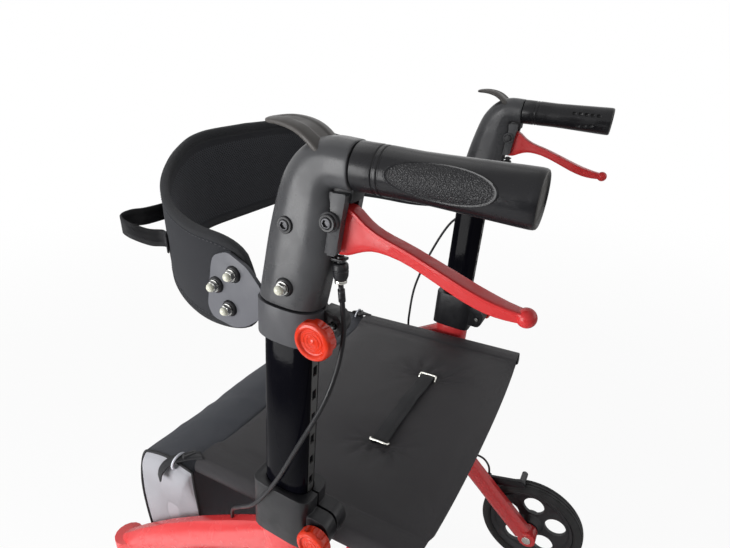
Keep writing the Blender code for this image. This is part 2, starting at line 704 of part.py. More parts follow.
def handle_housing(side, name, parent):
    """The grey elbow over the tube's top, with its spigot in the tube, horn, grip core and bolt heads."""
    x = side * FRAME_HALF
    rings = [housing_ring(x, y, z, math.radians(t), a, b) for y, z, t, a, b in HOUSING_PATH]
    housing = loft(f"handle_housing_{name}", rings)
    horn = []
    for i, (y, z, half_x, half_t) in enumerate(HORN_PATH):
        before, after = HORN_PATH[max(i - 1, 0)], HORN_PATH[min(i + 1, len(HORN_PATH) - 1)]
        along = Vector((after[0] - before[0], after[1] - before[1])).normalized()
        up = Vector((-along.y, along.x))
        horn.append([(x + a, y + up.x * b, z + up.y * b) for a, b in oval(half_x, half_t, 12, 3.0)])
    slope = Vector((-math.cos(GRIP_SLOPE), -math.sin(GRIP_SLOPE)))
    core = []
    for s in (-0.015, GRIP_CORE_LENGTH):
        y, z = GRIP_START[0] + slope.x * s, GRIP_START[1] + slope.y * s
        around = circle((0, 0), GRIP_CORE_RADIUS, 10)
        core.append([(x + a, y + slope.y * b, z - slope.x * b) for a, b in around])
    unite(housing, loft("horn", horn), loft("core", core))
    skirt = on_post(upright("skirt", socket_oval(GAP), TUBE_TOP - 0.04, TUBE_TOP + GAP), side)
    slot = bracket_outline(BRACKET_DEPTH + GAP, BEYOND, GAP)
    walls = along_x("walls", slot, x - slot_half(), x + slot_half())
    ear = pin_x("ear", PIVOT, BRACKET_EAR_RADIUS + GAP, x - BEYOND, x + BEYOND, 16)
    cut(housing, skirt, walls, ear)
    spigot_outline = oval(TUBE_HALF_X - TUBE_WALL - GAP, TUBE_HALF_Y - TUBE_WALL - GAP)
    spigot = on_post(upright("spigot", spigot_outline, TUBE_TOP - SPIGOT_LENGTH, TUBE_TOP + 0.004), side)
    screw = pin_x("screw", HOUSING_SCREW, SCREW_RADIUS, x, x + side * SCREW_FACE, 10)
    nut = cap_nut(HOUSING_NUT, FRAME_HALF + HOUSING_PATH[0][3] - 0.0005, side)
    unite(housing, spigot, nut, screw)
    return finish(housing, "grey_housing", GREY, parent)


def cap_nut(centre, face, side):
    """A cap nut on its washer, which lies on a face at that distance from the object's middle."""
    rings = ((-0.0040, NUT_WASHER), (0.0015, NUT_WASHER), (0.0015, NUT_RADIUS), (0.0080, NUT_RADIUS - 0.0002),
             (NUT_HEIGHT, NUT_RADIUS / 2))
    return solid_turned_x("nut", [(side * (face + x), r) for x, r in rings], centre, 10)


def slot_half():
    """Half the width of the slot in the housing that takes the lever bracket."""
    return LEVER_HALF + 3 * GAP + BRACKET_WALL


def lever_bracket(side, name, parent):
    """The channel in the housing's rear that carries the lever's pivot and the cable adjuster."""
    x = side * FRAME_HALF
    wall_inner = LEVER_HALF + 2 * GAP
    wall_outer = wall_inner + BRACKET_WALL
    outline = bracket_outline(BRACKET_DEPTH, BRACKET_REACH)
    bracket = along_x(f"lever_bracket_{name}", outline, x - wall_outer, x + wall_outer)
    unite(bracket, pin_x("ear", PIVOT, BRACKET_EAR_RADIUS, x - BRACKET_EAR_HALF, x + BRACKET_EAR_HALF, 16))
    room_outline = bracket_outline(BRACKET_DEPTH - BRACKET_WALL, BEYOND)
    cut(bracket, along_x("room", room_outline, x - wall_inner, x + wall_inner))
    low, _ = rear_line()
    tab = block("tab", (x - wall_outer, PIVOT[0] - TAB_REACH + 0.004, TAB_Z - TAB_THICK),
                (x + wall_outer, low.x + 0.006, TAB_Z))
    unite(bracket, tab)
    stud = STUD_RADIUS + STUD_CLEARANCE
    stem = pin_z("stem", (x, CABLE_Y), stud, TAB_Z - 0.01, TAB_Z + 0.01, 10)
    cut(bracket, stem, pin_x("hole", PIVOT, stud, x - BEYOND, x + BEYOND, 10))
    return finish(bracket, "grey_housing", GREY, parent)


def cable_adjuster(side, name, parent):
    """The barrel under the bracket that the brake cable's sheath ends in."""
    x, y = side * FRAME_HALF, CABLE_Y
    top = TAB_Z - TAB_THICK - GAP
    foot = top - ADJUSTER_LENGTH
    profile = ((CABLE_Z + GAP, 0.0036), (foot, 0.0040), (foot + 0.002, ADJUSTER_RADIUS),
               (top, ADJUSTER_RADIUS), (top, STUD_RADIUS), (TAB_Z + 0.004, STUD_RADIUS))
    rings = [[(a, b, z) for a, b in circle((x, y), r, 10)] for z, r in profile]
    return finish(loft(f"cable_adjuster_{name}", rings), "black_plastic", BLACK, parent)


def grip(side, name, parent):
    """The soft grip, a sleeve on the housing's core with a wider oval end."""
    x = side * FRAME_HALF
    slope = Vector((-math.cos(GRIP_SLOPE), -math.sin(GRIP_SLOPE)))
    rings = []
    bore = ((GRIP_CORE_LENGTH + GAP, GRIP_CORE_RADIUS + 2 * GAP), (0.0, GRIP_CORE_RADIUS + 2 * GAP))
    stations = [(s, r, r, 2.0) for s, r in bore] + [(s, a, b, 2.2) for s, a, b in GRIP_RINGS]
    for s, half_x, half_z, power in stations:
        y, z = GRIP_START[0] + slope.x * (s + GAP), GRIP_START[1] + slope.y * (s + GAP)
        rings.append([(x + a, y + slope.y * b, z - slope.x * b) for a, b in oval(half_x, half_z, 14, power)])
    return finish(loft(f"grip_{name}", rings), "grip_rubber", RUBBER, parent)


def brake_lever(side, name, parent):
    """The brake lever: hub in the bracket, tall root, slim blade and ball end."""
    x = side * FRAME_HALF
    rings = []
    for i, (y, z, half_z, half_x) in enumerate(LEVER_PATH):
        before, after = LEVER_PATH[max(i - 1, 0)], LEVER_PATH[min(i + 1, len(LEVER_PATH) - 1)]
        along = Vector((after[0] - before[0], after[1] - before[1])).normalized()
        up = Vector((along.y, -along.x))
        rings.append([(x + a, y + up.x * b, z + up.y * b) for a, b in oval(half_x, half_z, 12, 2.6)])
    lever = loft(f"brake_lever_{name}", rings)
    hub = pin_x("hub", PIVOT, LEVER_HUB_RADIUS, x - LEVER_HALF, x + LEVER_HALF, 14)
    bm = bmesh.new()
    bmesh.ops.create_icosphere(bm, subdivisions=2, radius=LEVER_BALL_RADIUS)
    bmesh.ops.translate(bm, verts=bm.verts, vec=(x, *LEVER_BALL))
    unite(lever, hub, new_object("ball", bm))
    cut(lever, pin_x("hole", PIVOT, STUD_RADIUS + STUD_CLEARANCE, x - BEYOND, x + BEYOND, 10))
    return finish(lever, "lever_red", LEVER_RED, parent)


def lever_pivot(side, name, parent):
    """The screw that the lever turns on."""
    x = side * FRAME_HALF
    face = BRACKET_EAR_HALF + GAP
    head = face + PIVOT_HEAD
    profile = ((-head, PIVOT_HEAD_RADIUS), (-face, PIVOT_HEAD_RADIUS), (-face, STUD_RADIUS),
               (face, STUD_RADIUS), (face, PIVOT_HEAD_RADIUS), (head, PIVOT_HEAD_RADIUS))
    profile = [(x + a, r) for a, r in profile]
    return finish(solid_turned_x(f"lever_pivot_{name}", profile, PIVOT, 10), "steel", STEEL, parent)


def collar_half(name, side, outward):
    """Half of the backrest collar in a post's frame: a C of the oval ring, with its half of the rear lug."""
    outer = upright(name, socket_oval(GAP + COLLAR_WALL, 20), COLLAR_FOOT, COLLAR_TOP)
    half = (COLLAR_TOP - COLLAR_FOOT) / 2 - 0.005
    outline = capsule_outline(COLLAR_LUG_Y, COLLAR_LUG_RADIUS, -TUBE_HALF_Y - 0.002, half)
    outline = shifted(outline, COLLAR_KNOB_HEIGHT)
    unite(outer, along_x("lug", outline, -COLLAR_LUG_HALF_X, COLLAR_LUG_HALF_X))
    low, high = COLLAR_FOOT - BEYOND, COLLAR_TOP + BEYOND
    bore = upright("bore", socket_oval(GAP, 16), low, high)
    away = -side * outward
    split = spanned("split", away * 0.05, -away * COLLAR_SPLIT / 2, (-0.09, low), (0.09, high))
    stud = STUD_RADIUS + STUD_CLEARANCE
    hole = pin_x("hole", (COLLAR_LUG_Y, COLLAR_KNOB_HEIGHT), stud, -BEYOND, BEYOND, 10)
    return cut(outer, bore, split, hole)


def backrest_collar(side, name, parent):
    """The two shells round the tube: the grey outer one has the plate and bolts that hold the backrest."""
    outer = on_post(collar_half(f"backrest_collar_{name}", side, 1), side)
    face = PAD_HALF + GAP + PLATE_THICK
    edges = (side * (PAD_HALF + GAP), side * face)
    plate = along_x("plate", PLATE_OUTLINE, min(edges), max(edges))
    unite(outer, plate, *[cap_nut(centre, face, side) for centre in PLATE_BOLTS])
    finish(outer, "grey_housing", GREY, parent)
    inner = on_post(collar_half(f"backrest_collar_inner_{name}", side, -1), side)
    return outer, finish(inner, "black_plastic", BLACK, parent)


def pad_path():
    """The backrest's outer line in plan, from the left end round the front to the right end, as X, Y and
    the outward direction, at even steps."""
    straight = PAD_CENTRE_Y - PAD_END_Y
    quarter = PAD_CORNER * math.pi / 2
    front = PAD_HALF - PAD_CORNER
    total = straight + quarter + front
    points = []
    for i in range(PAD_STATIONS + 1):
        share = 2 * i / PAD_STATIONS
        mirror = -1 if share <= 1 else 1
        share = min(share, 2 - share)
        s = share * total
        if s < straight:
            x, y, out = -PAD_HALF, PAD_END_Y + s, Vector((-1, 0))
        elif s < straight + quarter:
            angle = (s - straight) / PAD_CORNER
            out = Vector((-math.cos(angle), math.sin(angle)))
            x = -front + PAD_CORNER * out.x
            y = PAD_CENTRE_Y + PAD_CORNER * out.y
        else:
            x, y, out = -front + (s - straight - quarter), PAD_CENTRE_Y + PAD_CORNER, Vector((0, 1))
        if mirror > 0:
            x, out = -x, Vector((-out.x, out.y))
        points.append((x, y, out, share))
    return points


def pad_edges(share):
    """The band's lowest and highest Z at a share of the way from its end to its middle."""
    for (s0, low0, high0), (s1, low1, high1) in zip(PAD_EDGES, PAD_EDGES[1:]):
        if share <= s1:
            t = (share - s0) / (s1 - s0)
            return low0 + (low1 - low0) * t, high0 + (high1 - high0) * t
    return PAD_EDGES[-1][1:]


def backrest_pad(parent):
    """The padded band, thick in its middle and thin along its bound edges."""
    profile = (             # share of the height, share of the thickness inwards
        (0.00, 0.35), (0.02, 0.12), (0.08, 0.02), (0.50, 0.00), (0.92, 0.02), (0.98, 0.12), (1.00, 0.35),
        (0.99, 0.58), (0.93, 0.66), (0.88, 0.64), (0.80, 0.90), (0.50, 1.00), (0.20, 0.90), (0.12, 0.64),
        (0.07, 0.66), (0.01, 0.58),
    )
    rings = []
    for x, y, out, share in pad_path():
        low, high = pad_edges(share)
        thin = 0.55 if share < 0.01 else 1.0
        ring = []
        for height, depth in profile:
            inward = PAD_THICK * depth * thin
            ring.append((x - out.x * inward, y - out.y * inward, low + (high - low) * height))
        rings.append(ring)
    return finish(loft("backrest_pad", rings), "pad_cloth", CLOTH, parent)


def strap_loop(parent):
    """The loop of webbing on the backrest's front left, sewn to it at both ends."""
    away = PAD_CORNER + 3 * GAP + STRAP_THICK / 2
    roots = []
    for degrees, z in STRAP_ROOTS:
        angle = math.radians(degrees)
        x = PAD_CORNER - PAD_HALF + away * math.cos(angle)
        roots.append((x, PAD_CENTRE_Y + away * math.sin(angle), z))
    loose = [(PAD_CORNER - PAD_HALF + x, PAD_CENTRE_Y + y, z) for x, y, z in STRAP_LOOP]
    route = smooth_route(roots[:2] + loose + roots[2:], 0.010)
    rings = []
    for i, point in enumerate(route):
        along = (route[min(i + 1, len(route) - 1)] - route[max(i - 1, 0)]).normalized()
        out = Vector((along.y, -along.x, 0)).normalized() * STRAP_THICK / 2
        up = Vector((0, 0, STRAP_LOOP_HALF))
        rings.append([point - out - up, point + out - up, point + out + up, point - out + up])
    return finish(loft("backrest_strap", rings), "black_webbing", BLACK, parent)


def seat_height(x):
    """Height of the seat's top, which hangs between the rails."""
    share = min(1.0, abs(x) / (RAIL_X - RAIL_RADIUS))
    return RAIL_Z + SEAT_WRAP + SEAT_CLOTH - SEAT_SAG * (1 - share**4)


def seat_panel(parent):
    """The padded seat: thin where it wraps the rails and beside them, with soft front and rear edges."""
    wrap = [math.radians(a) for a in (-15, 15, 50, 85)]
    inner = [(SEAT_WRAP * math.cos(a), SEAT_WRAP * math.sin(a)) for a in wrap]
    thick = SEAT_WRAP + SEAT_CLOTH
    outer = [(thick * math.cos(a), thick * math.sin(a)) for a in wrap]
    reach = RAIL_X - RAIL_RADIUS
    flat = [reach * (1 - 2 * i / 11) for i in range(12)]
    padded = RAIL_X - SEAT_MARGIN
    rings = []
    for i in range(SEAT_STATIONS + 1):
        share = i / SEAT_STATIONS
        y = SEAT_REAR + (SEAT_FRONT - SEAT_REAR) * (0.5 - 0.5 * math.cos(math.pi * share))
        edge = min(y - SEAT_REAR, SEAT_FRONT - y)
        full = min(1.0, (edge + 0.004) / 0.020) ** 0.5
        tops = []
        bottoms = []
        for x in flat:
            lowered = SEAT_PAD * 0.4 * (1 - full) if abs(x) < padded else 0.0
            shoulder = min(1.0, max(0.0, (padded - abs(x)) / 0.045))
            top = seat_height(x) - lowered
            tops.append((x, y, top))
            bottoms.append((x, y, top - SEAT_CLOTH - (SEAT_PAD - SEAT_CLOTH) * shoulder * full))
        ring = [(RAIL_X + a, y, RAIL_Z + b) for a, b in outer] + tops
        ring += [(-RAIL_X - a, y, RAIL_Z + b) for a, b in reversed(outer)]
        ring += [(-RAIL_X - a, y, RAIL_Z + b) for a, b in inner] + bottoms[::-1]
        ring += [(RAIL_X + a, y, RAIL_Z + b) for a, b in reversed(inner)]
        rings.append(ring)
    return finish(loft("seat_panel", rings), "seat_cloth", CLOTH, parent, 50)


def lift_strap(parent):
    """The strap across the middle of the seat, with a flat wire loop at each end."""
    end = STRAP_X + 0.004
    rings = []
    for i in range(9):
        x = end * (i / 4 - 1)
        low = seat_height(x) + 2 * GAP
        high = low + LIFT_THICK
        rear, front = STRAP_Y
        rings.append([(x, rear, low), (x, front, low), (x, front, high), (x, rear, high)])
    strap = loft("lift_strap", rings)
    for side in (-1, 1):
        x = side * (STRAP_X + 0.003)
        centre = (x, seat_height(x) + 0.0022)
        unite(strap, pin_y("loop", centre, LOOP_RADIUS, STRAP_Y[0] - 0.0035, STRAP_Y[1] + 0.0035, 8))
    return finish(strap, "black_webbing", BLACK, parent)


def brace(name, foot_x, top_x, y, parent):
    """One bar of the cross brace, from its eye at a side frame up to its coped end under a seat rail."""
    foot, top = Vector((foot_x, BRACE_FOOT_Z)), Vector((top_x, RAIL_Z))
    along = (top - foot).normalized()
    across = Vector((-along.y, along.x)) * BRACE_HALF_DEPTH
    outline = []
    for i in range(7):
        angle = math.pi / 2 + math.pi * i / 6
        outline.append(foot + along * BRACE_HALF_DEPTH * math.cos(angle) + across * math.sin(angle))
    outline += [top - across, top + across]
    bar = along_y(name, [tuple(p) for p in outline], y - BRACE_HALF_THICK, y + BRACE_HALF_THICK)
    middle = (foot + top) / 2
    low, high = y - BEYOND, y + BEYOND
    tools = [pin_y("cope", (top_x, RAIL_Z), RAIL_RADIUS + GAP, low, high, 20)]
    tools += [pin_y("hole", tuple(c), BOLT_RADIUS + GAP, low, high, 12) for c in (foot, middle)]
    cut(bar, *tools)
    return finish(bar, "red_paint", RED, parent)


def bolt_y(name, centre, low, high, parent):
    """A bolt along Y with a low round head at each end."""
    rings = []
    for y, r in ((low - BOLT_HEAD, BOLT_HEAD_RADIUS), (low, BOLT_HEAD_RADIUS), (low, BOLT_RADIUS),
                 (high, BOLT_RADIUS), (high, BOLT_HEAD_RADIUS), (high + BOLT_HEAD, BOLT_HEAD_RADIUS)):
        rings.append([(x, y, z) for x, z in circle(centre, r, 12)])
    return finish(loft(name, rings), "steel", STEEL, parent)


def seat_rail(side, name, parent):
    """A seat rail with a plug in each end."""
    rings = []
    plug = RAIL_RADIUS - 0.003
    for y, r in ((RAIL_REAR - RAIL_PLUG, plug), (RAIL_REAR, RAIL_RADIUS), (RAIL_FRONT, RAIL_RADIUS),
                 (RAIL_FRONT + RAIL_PLUG, plug)):
        rings.append([(x, y, z) for x, z in circle((side * RAIL_X, RAIL_Z), r, 14)])
    return finish(loft(f"seat_rail_{name}", rings), "gloss_black", GLOSS_BLACK, parent)


def rail_saddle(side, name, parent):
    """The block on the frame's inner face that the seat rail rests in when the rollator is open."""
    wall = side * (FRAME_HALF - TUBE_HALF_X - GAP - SOCKET_WALL - GAP)
    inner = side * (RAIL_X - RAIL_RADIUS - 0.002)
    low, high = (SADDLE_Y[0], RAIL_Z - SADDLE_DEPTH), (SADDLE_Y[1], RAIL_Z - 0.004)
    saddle = spanned(f"rail_saddle_{name}", wall, inner, low, high)
    start, end = SADDLE_Y[0] - BEYOND, SADDLE_Y[1] + BEYOND
    cut(saddle, pin_y("groove", (side * RAIL_X, RAIL_Z), RAIL_RADIUS + GAP, start, end, 20))
    return finish(saddle, "black_plastic", BLACK, parent)


def storage_bag(parent):
    """The closed bag in front of the seat, with a sagging front and slightly drawn-in ends."""
    section = [(RAIL_FRONT + RAIL_PLUG + GAP, BAG_SHOULDER_Z)] + list(BAG_SECTION)
    middle_y = sum(y for y, _ in section) / len(section)
    middle_z = sum(z for _, z in section) / len(section)
    rings = []
    for share, shrink in BAG_ENDS:
        sag = BAG_SAG * (1 - share * share)
        ring = []
        for y, z in section:
            low = max(0.0, min(1.0, (middle_z + 0.06 - z) / 0.12))
            height = middle_z + (z - middle_z) * shrink - sag * low
            ring.append((BAG_HALF * share, middle_y + (y - middle_y) * shrink, height))
        rings.append(ring)
    return finish(loft("storage_bag", rings), "bag_cloth", BAG_CLOTH, parent, 50)


def tyre(name, x, y, radius, parent):
    """A solid rubber tyre with a round tread."""
    inner = radius - TYRE_HEIGHT
    profile = [(-TYRE_HALF * 0.55, inner), (-TYRE_HALF, inner + 0.007), (-TYRE_HALF * 0.85, radius - 0.0045),
               (-TYRE_HALF * 0.30, radius), (TYRE_HALF * 0.30, radius), (TYRE_HALF * 0.85, radius - 0.0045),
               (TYRE_HALF, inner + 0.007), (TYRE_HALF * 0.55, inner)]
    made = turned_x(name, [(x + a, r) for a, r in profile], (y, radius), WHEEL_FACETS)
    return finish(made, "tyre", RUBBER, parent)


def rim(name, x, y, radius, parent):
    """A moulded wheel: rim, dished web with five windows, and hub with its bore."""
    seat = radius - TYRE_HEIGHT - GAP
    half = TYRE_HALF * 0.55 + 0.0015
    profile = [(-half, seat), (-half + 0.004, seat - 0.009), (-WEB_HALF, HUB_RADIUS + 0.004),
               (-HUB_HALF, HUB_RADIUS - 0.003), (-HUB_HALF, AXLE_RADIUS + GAP), (HUB_HALF, AXLE_RADIUS + GAP),
               (HUB_HALF, HUB_RADIUS - 0.003), (WEB_HALF, HUB_RADIUS + 0.004), (half - 0.004, seat - 0.009),
               (half, seat)]
    made = turned_x(name, [(x + a, r) for a, r in profile], (y, radius), WHEEL_FACETS)
    window = (seat - 0.009 - HUB_RADIUS) / 2 - 0.006
    reach = (seat - 0.009 + HUB_RADIUS + 0.004) / 2
    tools = []
    for i in range(5):
        angle = 2 * math.pi * (i + 0.25) / 5
        centre = (y + reach * math.cos(angle), radius + reach * math.sin(angle))
        tools.append(pin_x("window", centre, window, x - 0.01, x + 0.01, 8))
    cut(made, *tools)
    return finish(made, "wheel_plastic", RIM, parent)


def axle(name, x, y, z, inner, outer, parent):
    """A wheel axle along X with a round head at each end, between two planes."""
    low, high = min(inner, outer), max(inner, outer)
    profile = ((low - AXLE_HEAD, AXLE_HEAD_RADIUS), (low, AXLE_HEAD_RADIUS), (low, AXLE_RADIUS),
               (high, AXLE_RADIUS), (high, AXLE_HEAD_RADIUS), (high + AXLE_HEAD, AXLE_HEAD_RADIUS))
    return finish(solid_turned_x(name, profile, (y, z), 12), "steel", STEEL, parent)


def caster_fork(side, name, parent):
    """The front fork: stem in the frame's head, crown, and two arms raked back to the axle."""
    x = side * FRAME_HALF
    crown_top = HEAD_FOOT - GAP
    outline = [(CASTER_Y + 0.021, FORK_CROWN_FOOT + 0.004), (CASTER_Y + 0.019, crown_top),
               (CASTER_Y - 0.020, crown_top), (CASTER_Y - 0.028, FORK_CROWN_FOOT + 0.012),
               (FRONT_AXLE_Y - 0.014, FRONT_RADIUS + 0.004),
               (FRONT_AXLE_Y - 0.010, FRONT_RADIUS - 0.011), (FRONT_AXLE_Y, FRONT_RADIUS - 0.015),
               (FRONT_AXLE_Y + 0.011, FRONT_RADIUS - 0.011), (FRONT_AXLE_Y + 0.015, FRONT_RADIUS + 0.002)]
    width = FORK_GAP + FORK_THICK
    fork = along_x(f"caster_fork_{name}", outline, x - width, x + width)
    cut(fork, block("room", (x - FORK_GAP, 0.0, 0.0), (x + FORK_GAP, CASTER_Y + BEYOND, FORK_CROWN_FOOT)))
    stem = pin_z("stem", (x, CASTER_Y), STEM_RADIUS, crown_top - 0.006, HEAD_FOOT + STEM_LENGTH)
    unite(fork, stem)
    cut(fork, pin_x("axle", (FRONT_AXLE_Y, FRONT_RADIUS), AXLE_RADIUS + GAP, x - BEYOND, x + BEYOND, 12))
    return finish(fork, "black_plastic", BLACK, parent)


def brake_arm(side, name, parent):
    """The arm that pivots on the rear leg and presses its round shoe on the rear tyre."""
    inner = FRAME_HALF + LEG_HALF[0] + GAP
    outer = inner + 0.006
    pivot, shoe = Vector(BRAKE_PIVOT), Vector(BRAKE_SHOE)
    along = (shoe - pivot).normalized()
    across = Vector((-along.y, along.x))
    outline = []
    for centre, half, start in ((pivot, 0.0090, math.pi / 2), (shoe, 0.0075, -math.pi / 2)):
        for i in range(6):
            angle = start + math.pi * i / 5
            outline.append(tuple(centre + (along * math.cos(angle) + across * math.sin(angle)) * half))
    arm = along_x(f"brake_arm_{name}", outline, side * inner, side * outer)
    pin = pin_x("pin", BRAKE_PIVOT, STUD_RADIUS, side * (FRAME_HALF + 0.001), side * outer, 10)
    shoe_end = REAR_WHEEL_X + TYRE_HALF - 0.001
    pad = pin_x("shoe", BRAKE_SHOE, SHOE_RADIUS, side * (inner + 0.001), side * shoe_end, 12)
    cable_end = (BRAKE_PIVOT[0], BRAKE_PIVOT[1] + CABLE_END_RISE)
    horn = pin_x("cable_end", cable_end, CABLE_END_RADIUS, side * inner, side * (outer + 0.004), 8)
    unite(arm, pin, pad, horn)
    return finish(arm, "black_plastic", BLACK, parent)


def build():
    for old in list(bpy.data.objects):
        bpy.data.objects.remove(old)
    middle_y = (BRACE_A_Y + BRACE_B_Y) / 2
    root = empty("joint_root", (0, 0, 0))
    brace_a = empty("joint_brace_a", (-RAIL_X, BRACE_A_Y, BRACE_FOOT_Z))
    brace_b = empty("joint_brace_b", (0, middle_y, (BRACE_FOOT_Z + RAIL_Z) / 2))
    far_frame = empty("joint_frame_right", (RAIL_X, BRACE_B_Y, BRACE_FOOT_Z))
    brace("cross_brace_a", -RAIL_X, RAIL_X, BRACE_A_Y, brace_a)
    brace("cross_brace_b", RAIL_X, -RAIL_X, BRACE_B_Y, brace_b)
    seat_rail(1, "right", brace_a)
    seat_rail(-1, "left", brace_b)
    bolt_y("brace_bolt", (0, (BRACE_FOOT_Z + RAIL_Z) / 2), BRACE_A_Y - BRACE_HALF_THICK - GAP,
           BRACE_B_Y + BRACE_HALF_THICK + GAP, brace_a)
    seat_panel(brace_b)
    lift_strap(brace_b)
    storage_bag(root)
    for name, side in SIDES:
        frame = root if side < 0 else far_frame
        brace_y = BRACE_A_Y if side < 0 else BRACE_B_Y
        x = side * FRAME_HALF
        post = post_matrix(side)
        handle = empty(f"joint_height_{name}", post @ Vector((0, 0, 0)))
        knob_low = empty(f"joint_height_knob_{name}", post @ Vector((0, CLAMP_LUG_Y, CLAMP_KNOB_HEIGHT)))
        collar = empty(f"joint_backrest_{name}", post @ Vector((0, 0, COLLAR_FOOT)))
        knob_high = empty(f"joint_backrest_knob_{name}", post @ Vector((0, COLLAR_LUG_Y, COLLAR_KNOB_HEIGHT)))
        lever = empty(f"joint_lever_{name}", (x, *PIVOT))
        caster = empty(f"joint_caster_{name}", (x, CASTER_Y, HEAD_FOOT))
        front = empty(f"joint_front_wheel_{name}", (x, FRONT_AXLE_Y, FRONT_RADIUS))
        rear = empty(f"joint_rear_wheel_{name}", (side * REAR_WHEEL_X, REAR_AXLE_Y, REAR_RADIUS))
        brake = empty(f"joint_brake_{name}", (side * (FRAME_HALF + LEG_HALF[0]), *BRAKE_PIVOT))
        side_frame(side, name, brace_y, frame)
        bolt_y(f"brace_foot_bolt_{name}", (side * RAIL_X, BRACE_FOOT_Z),
               brace_y - BRACE_HALF_THICK - EAR_GAP - EAR_THICK - GAP,
               brace_y + BRACE_HALF_THICK + EAR_GAP + EAR_THICK + GAP, frame)
        rail_saddle(side, name, frame)
        clamp_collar(side, name, frame)
        made = knob(f"height_knob_{name}", CLAMP_LUG_Y, CLAMP_KNOB_HEIGHT, CLAMP_LUG_HALF_X + 0.002, side)
        finish(on_post(made, side), "knob_red", KNOB_RED, knob_low)
        handle_tube(side, name, handle)
        handle_housing(side, name, handle)
        lever_bracket(side, name, handle)
        lever_pivot(side, name, handle)
        cable_adjuster(side, name, handle)
        grip(side, name, handle)
        brake_lever(side, name, lever)
        backrest_collar(side, name, collar)
        made = knob(f"backrest_knob_{name}", COLLAR_LUG_Y, COLLAR_KNOB_HEIGHT, COLLAR_KNOB_X, side)
        finish(on_post(made, side), "knob_red", KNOB_RED, knob_high)
        route = [(x + side * a, b, c) for a, b, c in CABLE_ROUTES[name]]
        upper = cable(f"brake_cable_{name}", route, CABLE_RADIUS, CABLE_STEP)
        route = [(x + side * a, b, c) for a, b, c in LOWER_CABLE_ROUTE]
        lower = cable(f"lower_cable_{name}", route, CABLE_RADIUS, CABLE_STEP)
        for made in (upper, lower):
            made.data.materials.append(material("black_plastic", BLACK))
        caster_fork(side, name, caster)
        tyre(f"front_tyre_{name}", x, FRONT_AXLE_Y, FRONT_RADIUS, front)
        rim(f"front_rim_{name}", x, FRONT_AXLE_Y, FRONT_RADIUS, front)
        axle(f"front_axle_{name}", x, FRONT_AXLE_Y, FRONT_RADIUS, x - FORK_GAP - FORK_THICK - GAP,
             x + FORK_GAP + FORK_THICK + GAP, caster)
        tyre(f"rear_tyre_{name}", side * REAR_WHEEL_X, REAR_AXLE_Y, REAR_RADIUS, rear)
        rim(f"rear_rim_{name}", side * REAR_WHEEL_X, REAR_AXLE_Y, REAR_RADIUS, rear)
        axle(f"rear_axle_{name}", x, REAR_AXLE_Y, REAR_RADIUS, side * (FRAME_HALF - DROP_HALF - GAP),
             side * (REAR_WHEEL_X + HUB_HALF + GAP), frame)
        brake_arm(side, name, brake)
    backrest_pad(bpy.data.objects["joint_backrest_left"])
    strap_loop(bpy.data.objects["joint_backrest_left"])


build()
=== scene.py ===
"""The looks of a four-wheel folding rollator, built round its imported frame.

Every class below is one sub-assembly. It holds its sizes, models its pieces in edit mode and gives each
piece its finish and the body that it rides on. Lengths are in metres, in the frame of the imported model:
X to the user's right, Y forwards and Z up. The near handle of the photograph is the left one, at -X.
"""

from __future__ import annotations

import logging
import math
from dataclasses import dataclass, field
from enum import Enum
from typing import Callable, Iterable, Sequence

import bmesh
import bpy
from mathutils import Matrix, Vector, noise


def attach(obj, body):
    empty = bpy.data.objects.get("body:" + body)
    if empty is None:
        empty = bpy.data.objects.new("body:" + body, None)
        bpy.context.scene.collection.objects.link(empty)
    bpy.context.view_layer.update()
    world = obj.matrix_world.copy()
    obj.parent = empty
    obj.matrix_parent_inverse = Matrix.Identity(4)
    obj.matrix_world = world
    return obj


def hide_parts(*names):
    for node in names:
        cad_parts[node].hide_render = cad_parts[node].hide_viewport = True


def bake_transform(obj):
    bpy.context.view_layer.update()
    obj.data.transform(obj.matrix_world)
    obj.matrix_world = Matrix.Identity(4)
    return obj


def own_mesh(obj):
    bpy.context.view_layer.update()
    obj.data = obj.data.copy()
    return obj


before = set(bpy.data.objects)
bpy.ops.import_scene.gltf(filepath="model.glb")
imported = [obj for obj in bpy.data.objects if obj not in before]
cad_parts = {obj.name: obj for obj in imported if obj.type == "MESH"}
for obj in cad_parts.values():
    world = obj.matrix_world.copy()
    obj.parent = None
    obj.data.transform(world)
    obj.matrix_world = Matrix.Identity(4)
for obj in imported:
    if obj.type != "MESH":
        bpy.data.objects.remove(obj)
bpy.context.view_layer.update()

log = logging.getLogger("rollator")

Colour = tuple[float, float, float]
Pair = tuple[float, float]
Point = tuple[float, float, float]
Rows = tuple[tuple[float, ...], ...]

FRAME_X = 0.25  # middle of a side frame, left and right of the centre
POST_TILT = math.radians(4.6)
SOCKET_Y = -0.0436  # middle of the post at the clamp's lower edge
SOCKET_Z = 0.535
TUBE_HALF = (0.014, 0.025)
RAIL_X = 0.215
RAIL_Z = 0.5115


class Side(Enum):
    """The left and right halves, by the sign of X."""

    LEFT = -1
    RIGHT = 1

    @property
    def word(self) -> str:
        """The side's name as node and body names spell it."""
        return self.name.lower()

    def x(self, outwards: float = 0.0) -> float:
        """X at a distance outwards from the middle of this side's frame."""
        return self.value * (FRAME_X + outwards)

    def post(self) -> Matrix:
        """From heights along the handle post, and X and Y across it, to the model's frame."""
        place = Matrix.Translation((self.x(), SOCKET_Y, SOCKET_Z))
        return place @ Matrix.Rotation(POST_TILT, 4, "X")

    def outwards(self, profile: Iterable[Pair]) -> list[Pair]:
        """A profile along X, turned so that it points away from the middle."""
        return [(self.value * a, r) for a, r in profile]


